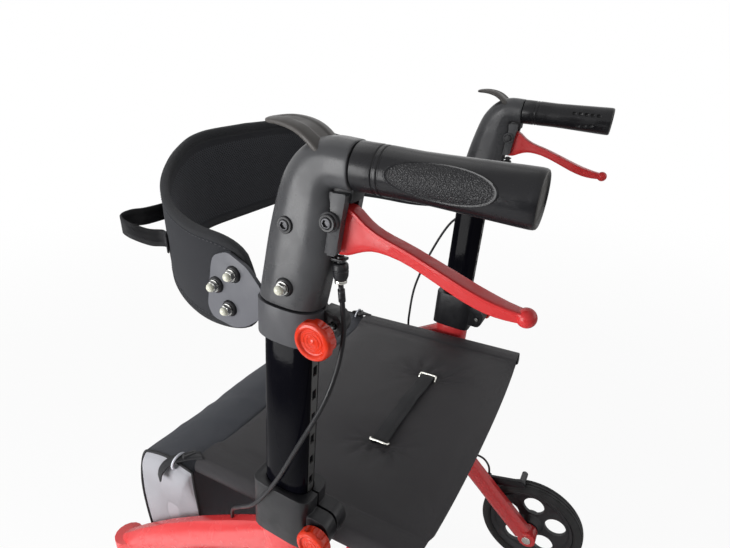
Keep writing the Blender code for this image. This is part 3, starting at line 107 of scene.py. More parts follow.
class Amount:
    """A number in a node tree that takes part in Python sums."""

    def __init__(self, recipe: Recipe, socket: bpy.types.NodeSocket) -> None:
        """Wraps an output socket of the recipe's tree."""
        self.recipe = recipe
        self.socket = socket

    def maths(self, operation: str, *others: Amount | float) -> Amount:
        """Adds a Math node with this value first.

        Args:
            operation: the node's operation.
            others: what fills its other sockets.

        Returns:
            The node's value.
        """
        return self.recipe.maths(operation, self, *others)

    def __add__(self, other: Amount | float) -> Amount:
        """Adds a value."""
        return self.maths("ADD", other)

    def __radd__(self, other: float) -> Amount:
        """Adds to a number."""
        return self.maths("ADD", other)

    def __sub__(self, other: Amount | float) -> Amount:
        """Takes a value away."""
        return self.maths("SUBTRACT", other)

    def __rsub__(self, other: float) -> Amount:
        """Takes this from a number."""
        return self.recipe.maths("SUBTRACT", other, self)

    def __mul__(self, other: Amount | float) -> Amount:
        """Multiplies by a value."""
        return self.maths("MULTIPLY", other)

    def __rmul__(self, other: float) -> Amount:
        """Multiplies a number."""
        return self.maths("MULTIPLY", other)

    def wave(self, pitch: float) -> Amount:
        """A sine from 0 to 1 that repeats at a pitch."""
        return (self * (2 * math.pi / pitch)).maths("SINE") * 0.5 + 0.5

    def between(self, low: float, high: float) -> Amount:
        """0 at the low value, 1 at the high one, and smooth between them."""
        settings = {"interpolation_type": "SMOOTHSTEP"}
        made = self.recipe.node("ShaderNodeMapRange", settings, {0: self, 1: low, 2: high})
        return Amount(self.recipe, made.outputs[0])


class Recipe:
    """The nodes of one material or of the world."""

    def __init__(self, holder: bpy.types.Material | bpy.types.World, shader: str = "Principled BSDF") -> None:
        """Starts from the nodes that a new material or world has.

        Args:
            holder: the material or the world.
            shader: the name of its shader's node.
        """
        holder.use_nodes = True
        self.tree = holder.node_tree
        self.shader = self.tree.nodes[shader]

    def node(self, kind: str, settings: dict, inputs: dict) -> bpy.types.Node:
        """Adds one node.

        Args:
            kind: the node's type.
            settings: its own settings, which are set first.
            inputs: the value or link of each socket, by name or number.

        Returns:
            The node.
        """
        made = self.tree.nodes.new(kind)
        for name, value in settings.items():
            setattr(made, name, value)
        for key, value in inputs.items():
            self.feed(made.inputs[key], value)
        return made

    def feed(self, socket: bpy.types.NodeSocket, value: object) -> None:
        """Links or sets one input socket.

        Args:
            socket: the input.
            value: an amount, an output socket or a plain value.
        """
        if isinstance(value, Amount):
            value = value.socket
        if isinstance(value, bpy.types.NodeSocket):
            self.tree.links.new(value, socket)
        else:
            socket.default_value = value

    def maths(self, operation: str, *values: Amount | float) -> Amount:
        """Adds a Math node on the given values."""
        made = self.node("ShaderNodeMath", {"operation": operation}, dict(enumerate(values)))
        return Amount(self, made.outputs[0])

    def place(self, by_uv: bool = False, scale: Point = (1, 1, 1)) -> bpy.types.NodeSocket:
        """The point being shaded, on the object or on its own map of the cloth, and scaled."""
        source = self.node("ShaderNodeTexCoord", {}, {}).outputs["UV" if by_uv else "Object"]
        return self.node("ShaderNodeMapping", {}, {"Vector": source, "Scale": scale}).outputs[0]

    def axes(self, place: bpy.types.NodeSocket) -> tuple[Amount, Amount, Amount]:
        """The three numbers of a place."""
        made = self.node("ShaderNodeSeparateXYZ", {}, {0: place})
        return tuple(Amount(self, output) for output in made.outputs)

    def noise(self, place: bpy.types.NodeSocket, scale: float, detail: float) -> Amount:
        """Cloudy noise from 0 to 1."""
        inputs = {"Vector": place, "Scale": scale, "Detail": detail}
        return Amount(self, self.node("ShaderNodeTexNoise", {}, inputs).outputs[0])

    def cells(self, place: bpy.types.NodeSocket, scale: float) -> Amount:
        """The distance to the nearest of scattered points, with soft borders."""
        made = self.node("ShaderNodeTexVoronoi", {"feature": "SMOOTH_F1"}, {"Vector": place, "Scale": scale})
        return Amount(self, made.outputs["Distance"])

    def mix(self, share: Amount | float, first: object, second: object) -> bpy.types.NodeSocket:
        """A colour between two others."""
        inputs = {0: share, 6: solid(first), 7: solid(second)}
        return self.node("ShaderNodeMix", {"data_type": "RGBA"}, inputs).outputs[2]

    def bump(self, height: Amount, distance: float) -> None:
        """Gives the surface a relief from a height of 0 to 1, and that distance in metres."""
        inputs = {"Height": height, "Distance": distance, "Strength": 1.0}
        self.feed(self.shader.inputs["Normal"], self.node("ShaderNodeBump", {}, inputs).outputs[0])


def solid(colour: object) -> object:
    """A colour with its alpha, or a link as it is."""
    return (*colour, 1.0) if isinstance(colour, tuple) else colour


def shade(colour: Colour, share: float) -> Colour:
    """A colour made darker or lighter."""
    return (colour[0] * share, colour[1] * share, colour[2] * share)


@dataclass(frozen=True)
class Finish:
    """What a surface is made of, and the record's slot that it stands for."""

    title: str
    slot: str
    colour: Colour
    roughness: float
    metallic: float = 0.0
    specular: float = 0.5
    coat: float = 0.0
    sheen: float = 0.0

    def material(self) -> bpy.types.Material:
        """Makes the finish's material when it is first asked for.

        Returns:
            The material, and the same one each time.
        """
        name = f"finish_{self.title}"
        known = bpy.data.materials.get(name)
        if known is not None:
            return known
        made = bpy.data.materials.new(name)
        recipe = Recipe(made)
        values = {
            "Base Color": solid(self.colour),
            "Roughness": self.roughness,
            "Metallic": self.metallic,
            "Specular IOR Level": self.specular,
            "Coat Weight": self.coat,
            "Coat Roughness": 0.08,
            "Sheen Weight": self.sheen,
        }
        for socket, value in values.items():
            recipe.shader.inputs[socket].default_value = value
        self.surface(recipe)
        return made

    def surface(self, recipe: Recipe) -> None:
        """Adds the nodes of this finish."""
        raise NotImplementedError

    def tones(self, recipe: Recipe, share: Amount, spread: float) -> None:
        """Varies the base colour about the finish's own."""
        dark, light = shade(self.colour, 1 - spread), shade(self.colour, 1 + spread)
        recipe.feed(recipe.shader.inputs["Base Color"], recipe.mix(share, dark, light))

    def gloss(self, recipe: Recipe, share: Amount, spread: float) -> None:
        """Varies the roughness about the finish's own."""
        recipe.feed(recipe.shader.inputs["Roughness"], share * (2 * spread) + (self.roughness - spread))


@dataclass(frozen=True)
class Moulded(Finish):
    """Moulded plastic or rubber: a fine spark-eroded grain, faint clouds and a few rubbed places."""

    grain: float = 0.00004
    grain_scale: float = 1500.0
    clouds: float = 0.1
    rubbed: float = 0.1

    def surface(self, recipe: Recipe) -> None:
        """Adds the grain, the clouds and the rubbed places.

        Args:
            recipe: the nodes to add to.
        """
        place = recipe.place()
        clouds = recipe.noise(place, 16.0, 3.0)
        scuffs = recipe.noise(place, 55.0, 4.0)
        self.tones(recipe, clouds * 0.7 + scuffs * 0.3, self.clouds)
        self.gloss(recipe, scuffs.between(0.35, 0.7), self.rubbed)
        recipe.bump(recipe.noise(place, self.grain_scale, 1.0), self.grain)


@dataclass(frozen=True)
class Pebbled(Finish):
    """The grip's pad, with a leathery pebble moulded into the rubber."""

    pitch: float = 1250.0

    def surface(self, recipe: Recipe) -> None:
        """Adds pebbles of two sizes with shiny tops, painted lighter on their tops as painted highlight and
        darker between them as painted shade.

        Args:
            recipe: the nodes to add to.
        """
        place = recipe.place()
        pebbles = recipe.cells(place, self.pitch)
        crumbs = recipe.noise(place, self.pitch * 2.2, 2.0)
        height = 1 - pebbles.between(0.1, 0.75) * 0.8 - crumbs * 0.2
        # painted highlight on the pebbles' tops and painted shade between them, taken from their height
        self.tones(recipe, height, 0.7)
        self.gloss(recipe, 1 - height, 0.12)
        recipe.bump(height, 0.0004)


@dataclass(frozen=True)
class Paint(Finish):
    """Powder coat or gloss paint, with a slight orange peel and dust in the clear layer."""

    peel: float = 0.00003

    def surface(self, recipe: Recipe) -> None:
        """Adds the orange peel, fine dust and slow changes of tone.

        Args:
            recipe: the nodes to add to.
        """
        place = recipe.place()
        slow = recipe.noise(place, 9.0, 2.0)
        self.tones(recipe, slow, 0.08)
        self.gloss(recipe, recipe.noise(place, 70.0, 5.0).between(0.4, 0.8), 0.05)
        recipe.bump(recipe.noise(place, 420.0, 1.0), self.peel)


@dataclass(frozen=True)
class Metal(Finish):
    """Plated or bare metal, drawn in one direction, with dull spots."""

    drawn: Point = (1.0, 1.0, 1.0)

    def surface(self, recipe: Recipe) -> None:
        """Adds drawing lines and dull spots.

        Args:
            recipe: the nodes to add to.
        """
        place = recipe.place(scale=self.drawn)
        lines = recipe.noise(place, 900.0, 2.0)
        spots = recipe.noise(recipe.place(), 140.0, 3.0)
        self.tones(recipe, spots, 0.12)
        self.gloss(recipe, spots.between(0.35, 0.7), 0.08)
        recipe.bump(lines, 0.00002)


@dataclass(frozen=True)
class Woven(Finish):
    """Woven cloth in two directions of its own map, with slubs and a soft wrinkle."""

    pitch: float = 0.0011
    depth: float = 0.00025
    spread: float = 0.3
    wrinkle: float = 0.0012

    def surface(self, recipe: Recipe) -> None:
        """Adds the threads, their uneven colour and the wrinkles.

        Args:
            recipe: the nodes to add to.
        """
        along, across, _ = recipe.axes(recipe.place(True))
        warp = along.wave(self.pitch)
        weft = across.wave(self.pitch)
        over = (along + across).wave(self.pitch * 2)
        threads = warp * over + weft * (1 - over)
        slubs = recipe.noise(recipe.place(), 260.0, 3.0)
        soft = recipe.noise(recipe.place(), 14.0, 3.0)
        self.tones(recipe, threads * 0.5 + slubs * 0.3 + soft * 0.2, self.spread)
        self.gloss(recipe, soft, 0.06)
        recipe.bump(threads * (self.depth / self.wrinkle) + soft, self.wrinkle)


@dataclass(frozen=True)
class OpenMesh(Finish):
    """Open knitted mesh: rows of small holes, painted near black as painted shade inside them."""

    pitch: float = 0.0026

    def surface(self, recipe: Recipe) -> None:
        """Adds staggered rows of holes on the piece's own map.

        Args:
            recipe: the nodes to add to.
        """
        along, across, _ = recipe.axes(recipe.place(True))
        first = along.wave(self.pitch) * across.wave(self.pitch)
        half = self.pitch / 2
        second = (along + half).wave(self.pitch) * (across + half).wave(self.pitch)
        holes = first.maths("MAXIMUM", second).between(0.45, 0.85)
        fuzz = recipe.noise(recipe.place(), 500.0, 2.0)
        yarn = recipe.mix(fuzz, shade(self.colour, 0.75), shade(self.colour, 1.35))
        # the holes are painted near black: painted shade inside them
        recipe.feed(recipe.shader.inputs["Base Color"], recipe.mix(holes, yarn, shade(self.colour, 0.18)))
        recipe.bump(1 - holes, 0.0006)


@dataclass(frozen=True)
class Strapping(Finish):
    """Narrow webbing with ribs across and a herringbone shine."""

    pitch: float = 0.0016

    def surface(self, recipe: Recipe) -> None:
        """Adds ribs along the map's length and a chevron across it.

        Args:
            recipe: the nodes to add to.
        """
        along, across, _ = recipe.axes(recipe.place(True))
        chevron = (across.maths("PINGPONG", 0.005) + along).wave(self.pitch)
        fuzz = recipe.noise(recipe.place(), 600.0, 2.0)
        self.tones(recipe, chevron * 0.7 + fuzz * 0.3, 0.35)
        self.gloss(recipe, chevron, 0.1)
        recipe.bump(chevron, 0.0003)


CHARCOAL = Moulded("charcoal_housing", "grey_housing", (0.062, 0.063, 0.067), 0.34, specular=0.3, clouds=0.26,
                   rubbed=0.08)
PLATE_GREY = Moulded("charcoal_plate", "grey_housing", (0.125, 0.128, 0.144), 0.55, specular=0.3, clouds=0.08)
COLLAR_GREY = Moulded("charcoal_collar", "grey_housing", (0.068, 0.069, 0.076), 0.5, specular=0.3, clouds=0.1)
HORN_GREY = Moulded("horn_grey", "grey_housing", (0.075, 0.069, 0.065), 0.5, specular=0.35, clouds=0.12)
BLACK_PLASTIC = Moulded("black_plastic", "black_plastic", (0.012, 0.012, 0.014), 0.38, specular=0.3)
BLACK_SCREW = Metal("black_screw", "black_screw", (0.04, 0.04, 0.044), 0.32, metallic=0.6, specular=0.4)
GRIP_BLACK = Moulded("grip_rubber", "grip_rubber", (0.012, 0.012, 0.014), 0.28, specular=0.26, grain=0.00005,
                     rubbed=0.1)
GRIP_PEBBLE = Pebbled("grip_pebble", "grip_rubber", (0.014, 0.014, 0.016), 0.28, specular=0.3)
GRIP_END = Moulded("grip_end", "grip_rubber", (0.07, 0.066, 0.062), 0.5, specular=0.35)
KNOB_RED = Moulded("knob_red", "knob_red", (0.71, 0.03, 0.004), 0.24, specular=0.35, grain=0.00001,
                   clouds=0.03)
LEVER_RED = Moulded("lever_red", "lever_red", (0.65, 0.032, 0.034), 0.36, specular=0.32, grain=0.00003,
                    clouds=0.06)
FRAME_RED = Paint("frame_red", "red_paint", (0.7, 0.045, 0.048), 0.28, specular=0.4, coat=0.3)
TUBE_BLACK = Paint("tube_black", "gloss_black", (0.003, 0.003, 0.005), 0.12, specular=0.04)
INDEX_METAL = Metal("index_metal", "gloss_black", (0.11, 0.11, 0.11), 0.38, metallic=0.4, specular=0.3,
                    drawn=(1, 1, 0.02))
BRIGHT = Metal("bright_zinc", "steel", (0.72, 0.71, 0.66), 0.22, metallic=1.0)
NUT_STEEL = Metal("nut_steel", "steel", (0.3, 0.3, 0.29), 0.3, metallic=1.0)
# cap nut domes are plated steel; their pale cream colour is a painted reflection of warm light
DOME_PAINTED_REFLECTION = Moulded("dome_painted_reflection", "steel", (0.74, 0.74, 0.62), 0.3, grain=0.00001, clouds=0.04)
SEAT_NYLON = Woven("seat_nylon", "seat_cloth", (0.021, 0.019, 0.022), 0.4, specular=0.28, sheen=0.02,
                   pitch=0.0009, spread=0.18, wrinkle=0.002)
STRAP_BLACK = Strapping("strap_webbing", "webbing", (0.012, 0.012, 0.014), 0.6, specular=0.3)
PAD_CLOTH = Woven("pad_cloth", "pad_cloth", (0.024, 0.025, 0.029), 0.85, specular=0.2, sheen=0.05,
                  pitch=0.0016, wrinkle=0.0006)
PAD_MESH = OpenMesh("pad_mesh", "pad_cloth", (0.048, 0.05, 0.057), 0.85, specular=0.2, sheen=0.04,
                    pitch=0.0044)
BINDING = Strapping("pad_binding", "pad_cloth", (0.022, 0.023, 0.026), 0.75, specular=0.3, pitch=0.0012)
THREAD = Moulded("thread", "pad_cloth", (0.06, 0.062, 0.068), 0.7, specular=0.3)
BAG_NYLON = Woven("bag_nylon", "bag_cloth", (0.05, 0.054, 0.066), 0.44, specular=0.22, sheen=0.04,
                  pitch=0.0009, spread=0.2, wrinkle=0.0045)
BAG_PANEL = Woven("bag_panel", "bag_cloth", (0.37, 0.37, 0.4), 0.65, pitch=0.0014, spread=0.1)
RING_PALE = Moulded("pale_ring", "bag_cloth", (0.66, 0.68, 0.74), 0.35)
TYRE_BLACK = Moulded("tyre_rubber", "tyre", (0.03, 0.03, 0.031), 0.72, specular=0.3, grain=0.0001, clouds=0.2)
RIM_BLACK = Moulded("wheel_plastic", "wheel_plastic", (0.03, 0.03, 0.033), 0.4, specular=0.35)


@dataclass(frozen=True)
class Station:
    """One cross-section of a lofted piece: its middle, its half sizes and its turn about X in degrees."""

    y: float
    z: float
    half_x: float
    half_d: float
    lean: float = 0.0

    def centre(self, x: float) -> Vector:
        """The section's middle, at a piece's X."""
        return Vector((x, self.y, self.z))


def spline(values: Sequence[Sequence[float]], each: int) -> list[tuple[float, ...]]:
    """Fills in rows of numbers along a smooth curve through the given rows.

    Args:
        values: the rows that the curve goes through.
        each: how many steps there are from one given row to the next.

    Returns:
        The rows at every step.
    """
    rows = [tuple(row) for row in values]
    padded = [tuple(2 * a - b for a, b in zip(rows[0], rows[1]))] + rows
    padded.append(tuple(2 * a - b for a, b in zip(rows[-1], rows[-2])))
    found = []
    for first, start, end, last in zip(padded, padded[1:], padded[2:], padded[3:]):
        for i in range(each):
            t = i / each
            found.append(tuple(
                0.5 * (2 * b + (c - a) * t + (2 * a - 5 * b + 4 * c - d) * t * t
                       + (3 * b - a - 3 * c + d) * t**3)
                for a, b, c, d in zip(first, start, end, last)
            ))
    found.append(rows[-1])
    return found


def eased(stations: Sequence[Station], each: int) -> list[Station]:
    """Stations along a smooth curve through the given ones."""
    rows = [(s.y, s.z, s.half_x, s.half_d, s.lean) for s in stations]
    return [Station(*row) for row in spline(rows, each)]


def rectangle(a0: float, b0: float, a1: float, b1: float) -> list[Pair]:
    """The corners of a rectangle, from two that face each other."""
    return [(a0, b0), (a1, b0), (a1, b1), (a0, b1)]


def hexagon(centre: Pair, radius: float, turn: float = 0.0) -> list[Pair]:
    """The corners of a regular hexagon."""
    angles = [math.pi * k / 3 + turn for k in range(6)]
    return [(centre[0] + radius * math.cos(a), centre[1] + radius * math.sin(a)) for a in angles]


def both_sides(half: Sequence[Pair]) -> list[Pair]:
    """A closed profile from the half of it at positive distances, whose ends lie on the middle plane."""
    return [*half, *((-a, r) for a, r in reversed(half[1:-1])), half[0]]


def girth(ring: Sequence[Point]) -> list[float]:
    """Measures the way round a closed ring.

    Args:
        ring: its points.

    Returns:
        The way at each point, and back at the first.
    """
    found = [0.0]
    for here, ahead in zip(ring, [*ring[1:], ring[0]]):
        found.append(found[-1] + (Vector(ahead) - Vector(here)).length)
    return found


def placed(name: str, data: bpy.types.ID) -> bpy.types.Object:
    """A new object in the scene, from its mesh, camera or lamp."""
    made = bpy.data.objects.new(name, data)
    bpy.context.scene.collection.objects.link(made)
    return made


def deselect() -> None:
    """Leaves edit mode and clears the selection."""
    if bpy.context.mode != "OBJECT":
        bpy.ops.object.mode_set(mode="OBJECT")
    bpy.ops.object.select_all(action="DESELECT")


class Shape:
    """A piece that is modelled in edit mode, in the model's own frame."""

    def __init__(self, name: str) -> None:
        """Starts an empty mesh in edit mode.

        Args:
            name: the piece's name.
        """
        deselect()
        self.made = placed(name, bpy.data.meshes.new(name))
        self.enter()

    def enter(self) -> None:
        """Makes this piece the active one and goes to edit mode."""
        self.leave()
        bpy.ops.object.mode_set(mode="EDIT")

    def leave(self) -> None:
        """Goes back to object mode with this piece active."""
        deselect()
        bpy.context.view_layer.objects.active = self.made
        self.made.select_set(True)

    def loft(self, stations: Sequence[Station], x: float, rounding: float, segments: int = 7) -> Shape:
        """Draws a section along stations, with a cap at each end.

        Args:
            stations: the sections in order.
            x: the middle of the piece.
            rounding: 1 for an oval, and less for a squarer section.
            segments: steps in each of the section's four corners.

        Returns:
            This shape.
        """
        bpy.ops.mesh.select_all(action="DESELECT")
        first = stations[0]
        if rounding >= 1:
            bpy.ops.mesh.primitive_circle_add(vertices=4 * segments + 4, radius=1, fill_type="NGON")
        else:
            bpy.ops.mesh.primitive_plane_add(size=2)
            bpy.ops.mesh.bevel(offset=rounding, segments=segments, affect="VERTICES")
        bpy.ops.transform.resize(value=(first.half_x, first.half_d, 1.0))
        self.turn(first.lean, (0, 0, 0))
        bpy.ops.transform.translate(value=first.centre(x))
        for before, after in zip(stations, stations[1:]):
            step = after.centre(x) - before.centre(x)
            bpy.ops.mesh.extrude_region_move(TRANSFORM_OT_translate={"value": step})
            centre = after.centre(x)
            self.turn(-before.lean, centre)
            scale = (after.half_x / before.half_x, after.half_d / before.half_d, 1.0)
            bpy.ops.transform.resize(value=scale, center_override=centre)
            self.turn(after.lean, centre)
        return self

    def turn(self, degrees: float, centre: Sequence[float]) -> None:
        """Turns what is selected about X. With no window the operator turns the other way round."""
        if degrees:
            angle = -math.radians(degrees)
            bpy.ops.transform.rotate(value=angle, orient_axis="X", center_override=tuple(centre))

    def trace(self, points: Sequence[Vector]) -> Shape:
        """Draws a line of edges from point to point, with what was there before hidden.

        Args:
            points: the points in order.

        Returns:
            This shape.
        """
        bpy.ops.mesh.select_mode(type="VERT")
        bpy.ops.mesh.select_all(action="SELECT")
        bpy.ops.mesh.hide(unselected=False)
        bpy.ops.mesh.primitive_plane_add(size=0.001, location=points[0])
        bpy.ops.mesh.merge(type="CENTER")
        for before, after in zip(points, points[1:]):
            bpy.ops.mesh.extrude_region_move(TRANSFORM_OT_translate={"value": after - before})
        bpy.ops.mesh.select_all(action="SELECT")
        return self

    def polygon(self, corners: Iterable[Sequence[float]]) -> Shape:
        """Adds one flat face with the given corners, selected alone.

        Args:
            corners: the corners in order.

        Returns:
            This shape.
        """
        self.trace([Vector(corner) for corner in corners])
        bpy.ops.mesh.edge_face_add()
        self.show()
        return self

    def show(self) -> None:
        """Brings back what is hidden, and leaves only the new part selected."""
        bpy.ops.mesh.reveal(select=False)

    def slab(
        self, outline: Sequence[Pair], start: float, end: float, axis: str = "X", soften: float = 0.0
    ) -> Shape:
        """Draws an outline of the other two axes from one plane to another.

        Args:
            outline: the corners, as (Y, Z), (X, Z) or (X, Y) for the axis X, Y or Z.
            start: where the first face lies on the axis.
            end: where the last face lies.
            axis: the direction that the outline is drawn in.
            soften: the radius of the outline's corners.

        Returns:
            This shape.
        """
        spot = "XYZ".index(axis)
        step = [0.0, 0.0, 0.0]
        step[spot] = end - start
        self.polygon([(*corner[:spot], start, *corner[spot:]) for corner in outline])
        if soften:
            bpy.ops.mesh.bevel(offset=soften, segments=4, affect="VERTICES", clamp_overlap=True)
        bpy.ops.mesh.extrude_region_move(TRANSFORM_OT_translate={"value": tuple(step)})
        return self

    def turned(
        self, profile: Sequence[Pair], centre: Sequence[float], axis: str = "X", steps: int = 32
    ) -> Shape:
        """Spins a profile of distance along the axis and radius about a line through a point.

        Args:
            profile: the distances and radii in order.
            centre: a point of the line.
            axis: the line's direction.
            steps: how many flats there are round it.

        Returns:
            This shape.
        """
        spot = "XYZ".index(axis)
        unit = Matrix.Identity(3)
        along, out = unit[spot].copy(), unit[(spot + 1) % 3].copy()
        self.trace([Vector(centre) + along * a + out * r for a, r in profile])
        bpy.ops.mesh.spin(steps=steps, angle=2 * math.pi, center=tuple(centre), axis=tuple(along))
        bpy.ops.mesh.select_all(action="SELECT")
        bpy.ops.mesh.remove_doubles(threshold=0.00001)
        bpy.ops.mesh.normals_make_consistent(inside=False)
        self.show()
        return self

    def copied(self, node: str) -> Shape:
        """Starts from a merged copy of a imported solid, without the seams between its triangles.

        Args:
            node: the solid's name.

        Returns:
            This shape.
        """
        self.leave()
        self.made.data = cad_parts[node].data.copy()
        self.made.data.materials.clear()
        self.enter()
        bpy.ops.mesh.select_all(action="SELECT")
        bpy.ops.mesh.remove_doubles(threshold=0.00001)
        bpy.ops.mesh.dissolve_limited(angle_limit=math.radians(1.5))
        bpy.ops.mesh.normals_make_consistent(inside=False)
        return self

    def pick(self, test: Callable[[Vector, Vector], bool]) -> Shape:
        """Selects the faces whose middle and normal pass a test.

        Args:
            test: the test.

        Returns:
            This shape.
        """
        bpy.ops.mesh.select_mode(type="FACE")
        bpy.ops.mesh.select_all(action="DESELECT")
        cage = bmesh.from_edit_mesh(self.made.data)
        for face in cage.faces:
            if test(face.calc_center_median(), face.normal):
                face.select_set(True)
        cage.select_flush_mode()
        bmesh.update_edit_mesh(self.made.data)
        return self

    def inset(self, width: float, depth: float = 0.0) -> Shape:
        """Insets the selected faces, and lowers them by a depth."""
        bpy.ops.mesh.inset(thickness=width, depth=-depth, use_boundary=True)
        return self

    def modify(self, kind: str, **settings: object) -> Shape:
        """Adds a modifier and applies it.

        Args:
            kind: the modifier's type.
            settings: its settings.

        Returns:
            This shape.
        """
        self.leave()
        modifier = self.made.modifiers.new("step", kind)
        for name, value in settings.items():
            setattr(modifier, name, value)
        bpy.ops.object.modifier_apply(modifier=modifier.name)
        self.enter()
        return self

    def join(self, *tools: Shape) -> Shape:
        """Unites this solid with others."""
        return self.combine("UNION", tools)

    def cut(self, *tools: Shape) -> Shape:
        """Cuts others out of this solid."""
        return self.combine("DIFFERENCE", tools)

    def combine(self, operation: str, tools: Sequence[Shape]) -> Shape:
        """Applies a Boolean with each tool, and removes the tool.

        Args:
            operation: what the Boolean does.
            tools: the other solids.

        Returns:
            This shape.
        """
        for tool in tools:
            tool.tidy()
        self.tidy()
        for tool in tools:
            self.modify("BOOLEAN", object=tool.made, operation=operation, solver="EXACT")
            bpy.data.objects.remove(tool.made)
        return self

    def tidy(self) -> Shape:
        """Merges doubles and turns all faces outwards.

        Returns:
            This shape.
        """
        self.enter()
        bpy.ops.mesh.select_all(action="SELECT")
        bpy.ops.mesh.remove_doubles(threshold=0.000002)
        bpy.ops.mesh.normals_make_consistent(inside=False)
        return self

    def moved(self, matrix: Matrix) -> Shape:
        """Moves the whole shape.

        Args:
            matrix: the move.

        Returns:
            This shape.
        """
        self.leave()
        self.made.data.transform(matrix)
        self.enter()
        return self

    def bevel(self, width: float, segments: int = 2, angle: float = 38.0) -> Shape:
        """Rounds every edge that is sharper than an angle."""
        settings = {"width": width, "segments": segments, "limit_method": "ANGLE"}
        return self.modify("BEVEL", angle_limit=math.radians(angle), **settings)

    def paint(self, finish: Finish, test: Callable[[Vector, Vector], bool]) -> Shape:
        """Gives the faces that pass a test another finish.

        Args:
            finish: the other finish.
            test: the test of a face's middle and normal.

        Returns:
            This shape.
        """
        self.leave()
        mesh = self.made.data
        if not mesh.materials:
            mesh.materials.append(None)
        mesh.materials.append(finish.material())
        for face in mesh.polygons:
            if test(face.center, face.normal):
                face.material_index = len(mesh.materials) - 1
        self.enter()
        return self

    def finish(
        self, look: Finish, body: str, replaces: Sequence[str] = (), smooth: float = 35.0
    ) -> bpy.types.Object:
        """Ends the modelling, and gives the piece its finish and body.

        Args:
            look: the finish of the piece.
            body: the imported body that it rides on.
            replaces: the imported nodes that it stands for.
            smooth: edges sharper than this stay sharp, in degrees.

        Returns:
            The finished object.
        """
        self.tidy()
        self.leave()
        bpy.ops.object.shade_smooth_by_angle(angle=math.radians(smooth))
        return deliver(self.made, look, body, replaces)


def deliver(
    made: bpy.types.Object, look: Finish, body: str, replaces: Sequence[str] = ()
) -> bpy.types.Object:
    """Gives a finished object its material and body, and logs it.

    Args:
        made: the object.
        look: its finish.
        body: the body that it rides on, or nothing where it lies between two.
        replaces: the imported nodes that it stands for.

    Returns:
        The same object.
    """
    if made.data.materials:
        made.data.materials[0] = look.material()
    else:
        made.data.materials.append(look.material())
    if replaces:
        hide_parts(*replaces)
    if body:
        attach(made, body)
    log.info("%s: %d faces, on %s", made.name, len(made.data.polygons), body or "two bodies")
    return made


def dress(
    name: str, node: str, look: Finish, body: str, edge: tuple[float, int, float], smooth: float = 35.0
) -> None:
    """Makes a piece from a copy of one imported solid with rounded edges.

    Args:
        name: the piece's name.
        node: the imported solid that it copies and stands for.
        look: its finish.
        body: the body that it rides on.
        edge: the width of the rounding, its steps, and the angle from which an edge gets it.
        smooth: edges sharper than this stay sharp, in degrees.
    """
    Shape(name).copied(node).bevel(*edge).finish(look, body, [node], smooth)


def crumple(made: bpy.types.Object) -> None:
    """Gives a soft piece its own copy of its mesh."""
    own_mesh(made)


def span_rails(made: bpy.types.Object) -> None:
    """Bakes a soft piece's place into its mesh."""
    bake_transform(made)


def woven_shell(
    name: str, rings: Sequence[Sequence[Point]], map_of: Callable[[int, int], Pair]
) -> bpy.types.Object:
    """A closed cloth shell through rings of points, with its own map in metres.

    Args:
        name: the piece's name.
        rings: rings of as many points each, in order.
        map_of: gives the place on the cloth of a ring and a point in it.

    Returns:
        The object, shaded smooth.
    """
    deselect()
    cage = bmesh.new()
    layer = cage.loops.layers.uv.new("cloth")
    loops = [[cage.verts.new(point) for point in ring] for ring in rings]
    count = len(loops[0])
    for i in range(len(loops) - 1):
        for j in range(count):
            k = (j + 1) % count
            face = cage.faces.new((loops[i][j], loops[i][k], loops[i + 1][k], loops[i + 1][j]))
            places = ((i, j), (i, j + 1), (i + 1, j + 1), (i + 1, j))
            for loop, place in zip(face.loops, places):
                loop[layer].uv = map_of(*place)
    cage.faces.new(reversed(loops[0]))
    cage.faces.new(loops[-1])
    bmesh.ops.recalc_face_normals(cage, faces=cage.faces)
    mesh = bpy.data.meshes.new(name)
    cage.to_mesh(mesh)
    cage.free()
    mesh.shade_smooth()
    return placed(name, mesh)


def ribbon(name: str, route: Sequence[Sequence[float]], half: Vector, thick: float) -> bpy.types.Object:
    """A flat strap along a route, with its width along one direction and rounded edges.

    Args:
        name: the piece's name.
        route: the points of its middle line.
        half: half of its width, as a direction.
        thick: its thickness.

    Returns:
        The object.
    """
    points = [Vector(point) for point in route]
    rings = []
    lengths = [0.0]
    for i, point in enumerate(points):
        along = (points[min(i + 1, len(points) - 1)] - points[max(i - 1, 0)]).normalized()
        out = along.cross(half).normalized() * (thick / 2)
        inner = half * (1 - thick / (2 * half.length))
        rings.append([point - half, point - inner - out, point + inner - out, point + half,
                      point + inner + out, point - inner + out])
        if i:
            lengths.append(lengths[-1] + (point - points[i - 1]).length)
    width = 2 * half.length
    steps = (0.0, 0.02, 0.98, 1.0, 0.98, 0.02, 0.0)
    return woven_shell(name, rings, lambda i, j: (lengths[i], width * steps[j]))


def tube(name: str, route: Sequence[Sequence[float]], radius: float, sides: int = 12) -> bpy.types.Object:
    """A round closed tube along a route of points.

    Args:
        name: the piece's name.
        route: the points of its middle line.
        radius: its radius.
        sides: how many flats there are round it.

    Returns:
        The object.
    """
    points = [Vector(point) for point in route]
    normal = Vector((0.31, 0.17, 0.93))
    rings = []
    for i, point in enumerate(points):
        along = (points[min(i + 1, len(points) - 1)] - points[max(i - 1, 0)]).normalized()
        normal = (normal - along * normal.dot(along)).normalized()
        across = along.cross(normal)
        angles = [2 * math.pi * k / sides for k in range(sides)]
        rings.append([point + (normal * math.cos(a) + across * math.sin(a)) * radius for a in angles])
    return woven_shell(name, rings, lambda i, j: (i * 0.004, j * 2 * math.pi * radius / sides))


